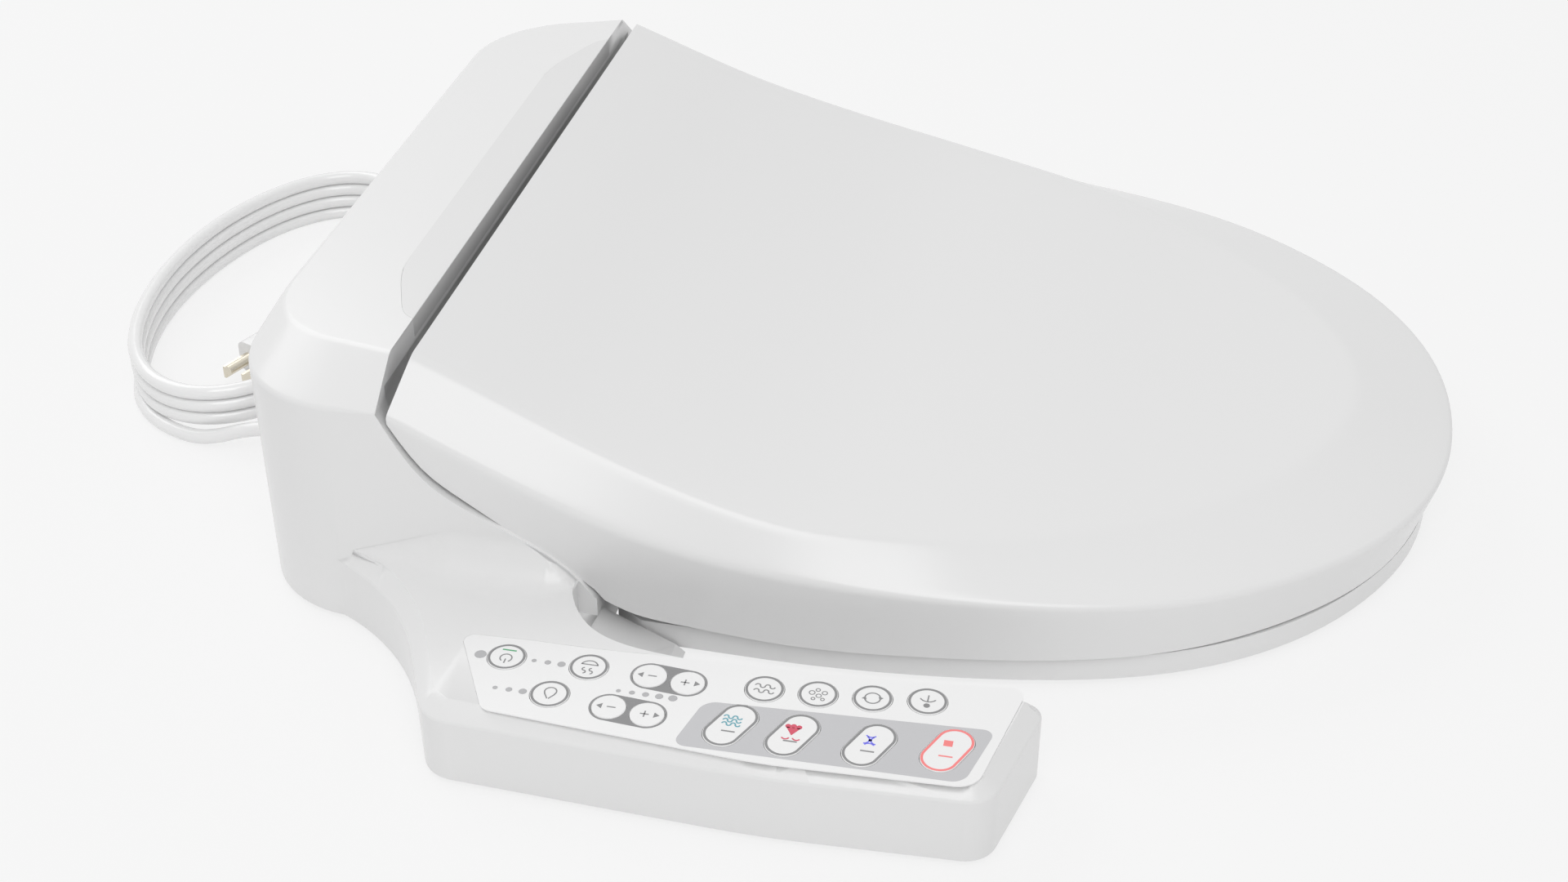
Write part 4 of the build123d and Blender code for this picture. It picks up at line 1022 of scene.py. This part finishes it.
@dataclass
class Panel:
    """Printing of the control panel: key borders, symbols and coloured fields."""

    top: float = 37.8
    key_top: float = 38.1
    key_radius: float = 7.6
    rocker_radius: float = 6.6
    wide_radius: float = 7.3
    wide_half: float = 5.4
    wide_turn: float = -24.0
    border: float = 1.0
    border_inset: float = 0.26
    border_thick: float = 0.04
    field_thick: float = 0.05
    field_corner: float = 5.0
    key_gap: float = 0.28
    stroke: float = 0.55
    round_keys: dict[str, Flat] = field(default_factory=lambda: {
        "power": (-247.3, -91.6), "seat_heat": (-246.7, -124.5), "water_heat": (-265.1, -114.4),
        "massage": (-245.4, -193.4), "aerated": (-244.2, -213.9), "auto": (-242.3, -234.5),
        "kids": (-239.7, -255.1)})
    wide_keys: dict[str, Flat] = field(default_factory=lambda: {
        "dry": (-268.3, -185.5), "bidet": (-269.0, -209.1), "wash": (-268.5, -237.9),
        "stop": (-265.3, -266.4)})
    rockers: dict[tuple[str, str], Flat] = field(default_factory=lambda: {
        ("pressure_low", "pressure_high"): (-247.5, -156.4),
        ("nozzle_back", "nozzle_front"): (-268.3, -145.9)})
    rocker_half: float = 7.6
    rocker_shift: float = 0.6
    field_corners: tuple[Flat, ...] = ((-256.8, -172.8), (-250.8, -282.6), (-281.4, -274.6), (-283.0, -166.4))

    def key_border(self, name: str, place: Flat, radius: float, half: float = 0.0, turn: float = 0.0,
                   ink: Finish = Finish.INK_GREY) -> None:
        """Printed border on one key.

        Args:
            name: The key's name.
            place: Middle of the key.
            radius: Outer radius of the border.
            half: Half distance between its end centres.
            turn: Degrees from X.
            ink: Colour of the border.
        """
        mesh = bmesh.new()
        slot_loop(mesh, *place, radius, half, turn)
        slot_loop(mesh, *place, radius - self.border, half, turn)
        film(mesh, self.key_top, self.border_thick)
        add_piece("border_" + name, mesh, ink, f"key_{name}_body", sharp=30)

    def rocker_field(self, name: str, place: Flat) -> None:
        """Grey field round a pair of rocker keys.

        Args:
            name: Name of the pair.
            place: Middle of the pair.
        """
        mesh = bmesh.new()
        turn = math.degrees(math.atan2(2 * self.rocker_half, 2 * self.rocker_shift))
        reach = math.hypot(self.rocker_half, self.rocker_shift)
        slot_loop(mesh, *place, self.rocker_radius + 1.0, reach, turn)
        for side in (-1, 1):
            centre = (place[0] + side * self.rocker_shift, place[1] + side * self.rocker_half)
            slot_loop(mesh, *centre, self.rocker_radius + self.key_gap, 0, 0)
        film(mesh, self.top, self.field_thick)
        add_piece("field_" + name, mesh, Finish.INK_GREY, "base", sharp=30)

    def wide_field(self) -> None:
        """Pale grey field under the four wide keys, with a hole round each."""
        mesh = bmesh.new()
        corners = [mesh.verts.new((*corner, 0)) for corner in self.field_corners]
        mesh.faces.new(corners)
        bmesh.ops.bevel(mesh, geom=corners, offset=self.field_corner, offset_type="OFFSET", affect="VERTICES",
                        segments=8, profile=0.5, material=-1, clamp_overlap=False)
        bmesh.ops.delete(mesh, geom=mesh.faces[:], context="FACES_ONLY")
        for place in self.wide_keys.values():
            slot_loop(mesh, *place, self.wide_radius + self.key_gap, self.wide_half, self.wide_turn)
        film(mesh, self.top, self.field_thick)
        add_piece("field_wide_keys", mesh, Finish.INK_PALE, "base", sharp=30)

    def mark(self, key: str) -> Glyph:
        """Start a mark in the middle of a key.

        Args:
            key: The key's name.

        Returns:
            The empty mark.
        """
        return Glyph(key, (*(self.round_keys | self.wide_keys)[key], self.key_top))

    def symbols(self) -> None:
        """Plain symbols on the round keys."""
        wide = self.stroke
        self.mark("power").arc(0, 0.9, 2.3, 125, 290, wide).stroke(0, 2.7, 2.6, wide, 90).add()
        self.mark("power").stroke(0, -3.9, 5.6, 0.7).add(Finish.INK_GREEN, "symbol_economy")
        seat = self.mark("seat_heat").arc(0, -0.2, 3.4, 200, 140, wide).stroke(0, -1.3, 6.8, wide)
        for u in (-1.4, 1.4):
            seat.arc(u, 1.6, 0.8, -90, 180, wide).arc(u, 3.2, 0.8, 90, 180, wide)
        seat.add()
        self.mark("water_heat").arc(0, -1.3, 2.3, 145, 250, wide).stroke(-1.15, 1.45, 3.4, wide, 58).stroke(
            1.15, 1.45, 3.4, wide, 122).add()
        self.mark("massage").wave(0, 1.5, 1.9, 4, wide).wave(0, -1.5, 1.9, 4, wide).add()
        bubbles = self.mark("aerated")
        for u, v, radius in ((-2.4, -1.0, 1.0), (0.4, -2.3, 0.8), (2.4, -0.4, 1.1), (-0.4, 1.0, 1.0),
                             (1.4, 3.0, 0.7), (-2.2, 2.8, 0.7)):
            bubbles.arc(u, v, radius, 0, 360, 0.4)
        bubbles.add()
        self.mark("auto").arc(0, 0, 3.0, 20, 150, wide).arc(0, 0, 3.0, 200, 150, wide).wedge(
            3.0, 0.4, 1.8, 2.0, -100).wedge(-3.0, -0.4, 1.8, 2.0, 80).add()
        self.mark("kids").disc(0, 2.6, 1.25).arc(0, -3.2, 3.6, 35, 110, wide).stroke(
            0, -1.6, 3.6, wide, 90).add()

    def rocker_symbols(self) -> None:
        """Arrow heads and signs on the four rocker keys."""
        for pair, (x, y) in self.rockers.items():
            for key, side in zip(pair, (1, -1)):
                mark = Glyph(key, (x + side * self.rocker_shift, y + side * self.rocker_half, self.key_top))
                mark.wedge(side * 3.4, 0, 2.2, 3.0, 90 - 90 * side).stroke(-side, 0, 3.4, self.stroke)
                if side < 0:
                    mark.stroke(-side, 0, 3.4, self.stroke, 90)
                mark.add()

    def wide_symbols(self) -> None:
        """Coloured symbols and short lines on the four wide keys."""
        wide = 0.6
        drying = self.mark("dry")
        for v in (-4.4, -2.4, -0.4):
            drying.wave(0.0, v, 1.7, 4, wide)
        drying.add(Finish.INK_TEAL)
        self.mark("bidet").wedge(0.4, -2.6, 4.4, 5.6, 90).disc(-1.7, -4.6, 1.1).disc(0.4, -4.9, 1.1).disc(
            2.5, -4.6, 1.1).arc(-1.8, 1.2, 1.5, 20, 130, wide).arc(2.4, 1.2, 1.5, 30, 130, wide).add(
            Finish.INK_CRIMSON)
        self.mark("wash").arc(-2.2, -2.6, 2.0, -60, 150, wide).arc(2.4, -2.6, 2.0, 90, 150, wide).arc(
            0.1, -6.4, 2.2, 35, 110, wide).arc(0.1, 1.4, 2.2, 215, 110, wide).disc(0.1, -2.5, 0.7).add(
            Finish.INK_BLUE)
        self.mark("stop").stroke(0.2, -3.6, 3.4, 3.2).add(Finish.INK_RED)
        for key in self.wide_keys:
            ink = Finish.INK_RED if key == "stop" else Finish.INK_GREY
            self.mark(key).stroke(0.2, 3.6, 5.2, 0.7).add(ink, "line_" + key)

    def build(self) -> None:
        """Print the whole panel."""
        for name, place in self.round_keys.items():
            self.key_border(name, place, self.key_radius - self.border_inset)
        for name, place in self.wide_keys.items():
            ink = Finish.INK_RED if name == "stop" else Finish.INK_GREY
            self.key_border(name, place, self.wide_radius - self.border_inset, self.wide_half,
                            self.wide_turn, ink)
        for (rear, front), place in self.rockers.items():
            self.rocker_field(rear + "_" + front, place)
        self.wide_field()
        self.symbols()
        self.rocker_symbols()
        self.wide_symbols()


# ---- studio
@dataclass(frozen=True)
class Lamp:
    """A soft rectangular lamp: place and size in metres, power in watts."""

    name: str
    place: Point
    size: Flat
    watts: float


@dataclass
class Studio:
    """Camera, plain pale floor and soft light."""

    eye: Point = (-0.8667, -0.333, 0.5741)
    down: float = 33.6
    turn: float = 12.0
    lens: float = 50.0
    sensor: float = 36.0
    backdrop: float = 0.935
    sky_light: float = 0.52
    floor_glow: float = 0.85
    floor_half: float = 6.0
    floor_drop: float = 0.0002
    floor_shade: float = 0.93
    floor_roughness: float = 0.9
    aim: Point = (0.0, -0.2, 0.05)
    lamps: tuple[Lamp, ...] = (Lamp("key_lamp", (-1.35, -0.45, 2.0), (1.4, 1.4), 18.0),
                               Lamp("fill_lamp", (0.9, 1.2, 1.6), (1.6, 1.2), 12.0))

    def camera(self) -> None:
        """Set up the camera."""
        down, turn = math.radians(self.down), math.radians(self.turn)
        right = Vector((math.sin(turn), -math.cos(turn), 0))
        ahead = Vector((math.cos(turn) * math.cos(down), math.sin(turn) * math.cos(down), -math.sin(down)))
        up = right.cross(ahead)
        data = bpy.data.cameras.new("camera")
        data.lens = self.lens
        data.sensor_width = self.sensor
        camera = place_object("camera", data)
        camera.matrix_world = Matrix.Translation(self.eye) @ Matrix((right, up, -ahead)).transposed().to_4x4()
        bpy.context.scene.camera = camera

    def lamp(self, plan: Lamp) -> None:
        """Hang one lamp, facing the seat.

        Args:
            plan: What it is like.
        """
        data = bpy.data.lights.new(plan.name, "AREA")
        data.shape = "RECTANGLE"
        data.size, data.size_y = plan.size
        data.energy = plan.watts
        lamp = place_object(plan.name, data)
        lamp.location = plan.place
        lamp.rotation_mode = "QUATERNION"
        lamp.rotation_quaternion = (Vector(self.aim) - Vector(plan.place)).to_track_quat("-Z", "Y")

    @staticmethod
    def grey(shade: float) -> tuple[float, ...]:
        """A grey with its alpha."""
        return shade, shade, shade, 1

    def world(self) -> None:
        """Even sky: plain to the camera and in reflections, softer as light."""
        world = bpy.data.worlds.new("studio")
        world.use_nodes = True
        make = TreeMaker(world.node_tree)
        light = make.node("ShaderNodeBackground", inputs={0: (1, 1, 1, 1), 1: self.sky_light})
        seen = make.node("ShaderNodeBackground", inputs={0: self.grey(self.backdrop)})
        mix = make.node("ShaderNodeMixShader", inputs={0: make.seen_rays(), 1: light, 2: seen})
        make.put(mix, make.tree.nodes.new("ShaderNodeOutputWorld").inputs[0])
        bpy.context.scene.world = world

    def floor(self) -> None:
        """Lay the pale floor that takes the seat's soft shadow."""
        mesh = bmesh.new()
        bmesh.ops.create_grid(mesh, x_segments=1, y_segments=1, size=self.floor_half)
        bmesh.ops.translate(mesh, verts=mesh.verts, vec=(0, 0, -self.floor_drop))
        data = bpy.data.meshes.new("floor")
        mesh.to_mesh(data)
        mesh.free()
        make = ShaderMaker("floor_paint")
        make.feed(Base_Color=self.grey(self.floor_shade), Roughness=self.floor_roughness)
        plain = Socket(make, make.shader.outputs[0])
        glow = make.node("ShaderNodeEmission", inputs={0: self.grey(self.backdrop)})
        share = make.seen_rays() * self.floor_glow
        mix = make.node("ShaderNodeMixShader", inputs={0: share, 1: plain, 2: glow})
        make.put(mix, make.output.inputs[0])
        data.materials.append(make.material)
        floor = place_object("floor", data)

    def build(self) -> None:
        """Set the whole studio."""
        self.camera()
        self.world()
        self.floor()
        for plan in self.lamps:
            self.lamp(plan)
        bpy.context.scene.view_settings.view_transform = "Standard"


def main() -> None:
    """Build the studio, dress the CAD nodes and add every piece."""
    logging.basicConfig(level=logging.INFO, format="%(message)s")
    Studio().build()
    MainsLead().build()
    Lid().build()
    crown = Softening(3.0, 20, 80, (-200, -23, 100), (200, 60, 130))
    arm = Softening(1.6, 25, 60, (-300, -310, 25), (-196, 60, 37.0))
    ring_rim = Softening(2.6, 25, 60, (-200, -460, 25), (200, -150, 80))
    lens_rim = Softening(0.4, 60, 110, (-170, -40, 90), (170, 60, 130))
    SoftMoulding("top_cover", "base", (crown, arm)).build()
    SoftMoulding("seat_upper", "seat", (ring_rim,)).build()
    SoftMoulding("display_lens", "base", (lens_rim,), finish=Finish.LENS, material_slot="lens_white").build()
    Fittings().build()
    Panel().build()
    Wardrobe().dress()


if __name__ == "__main__":
    main()
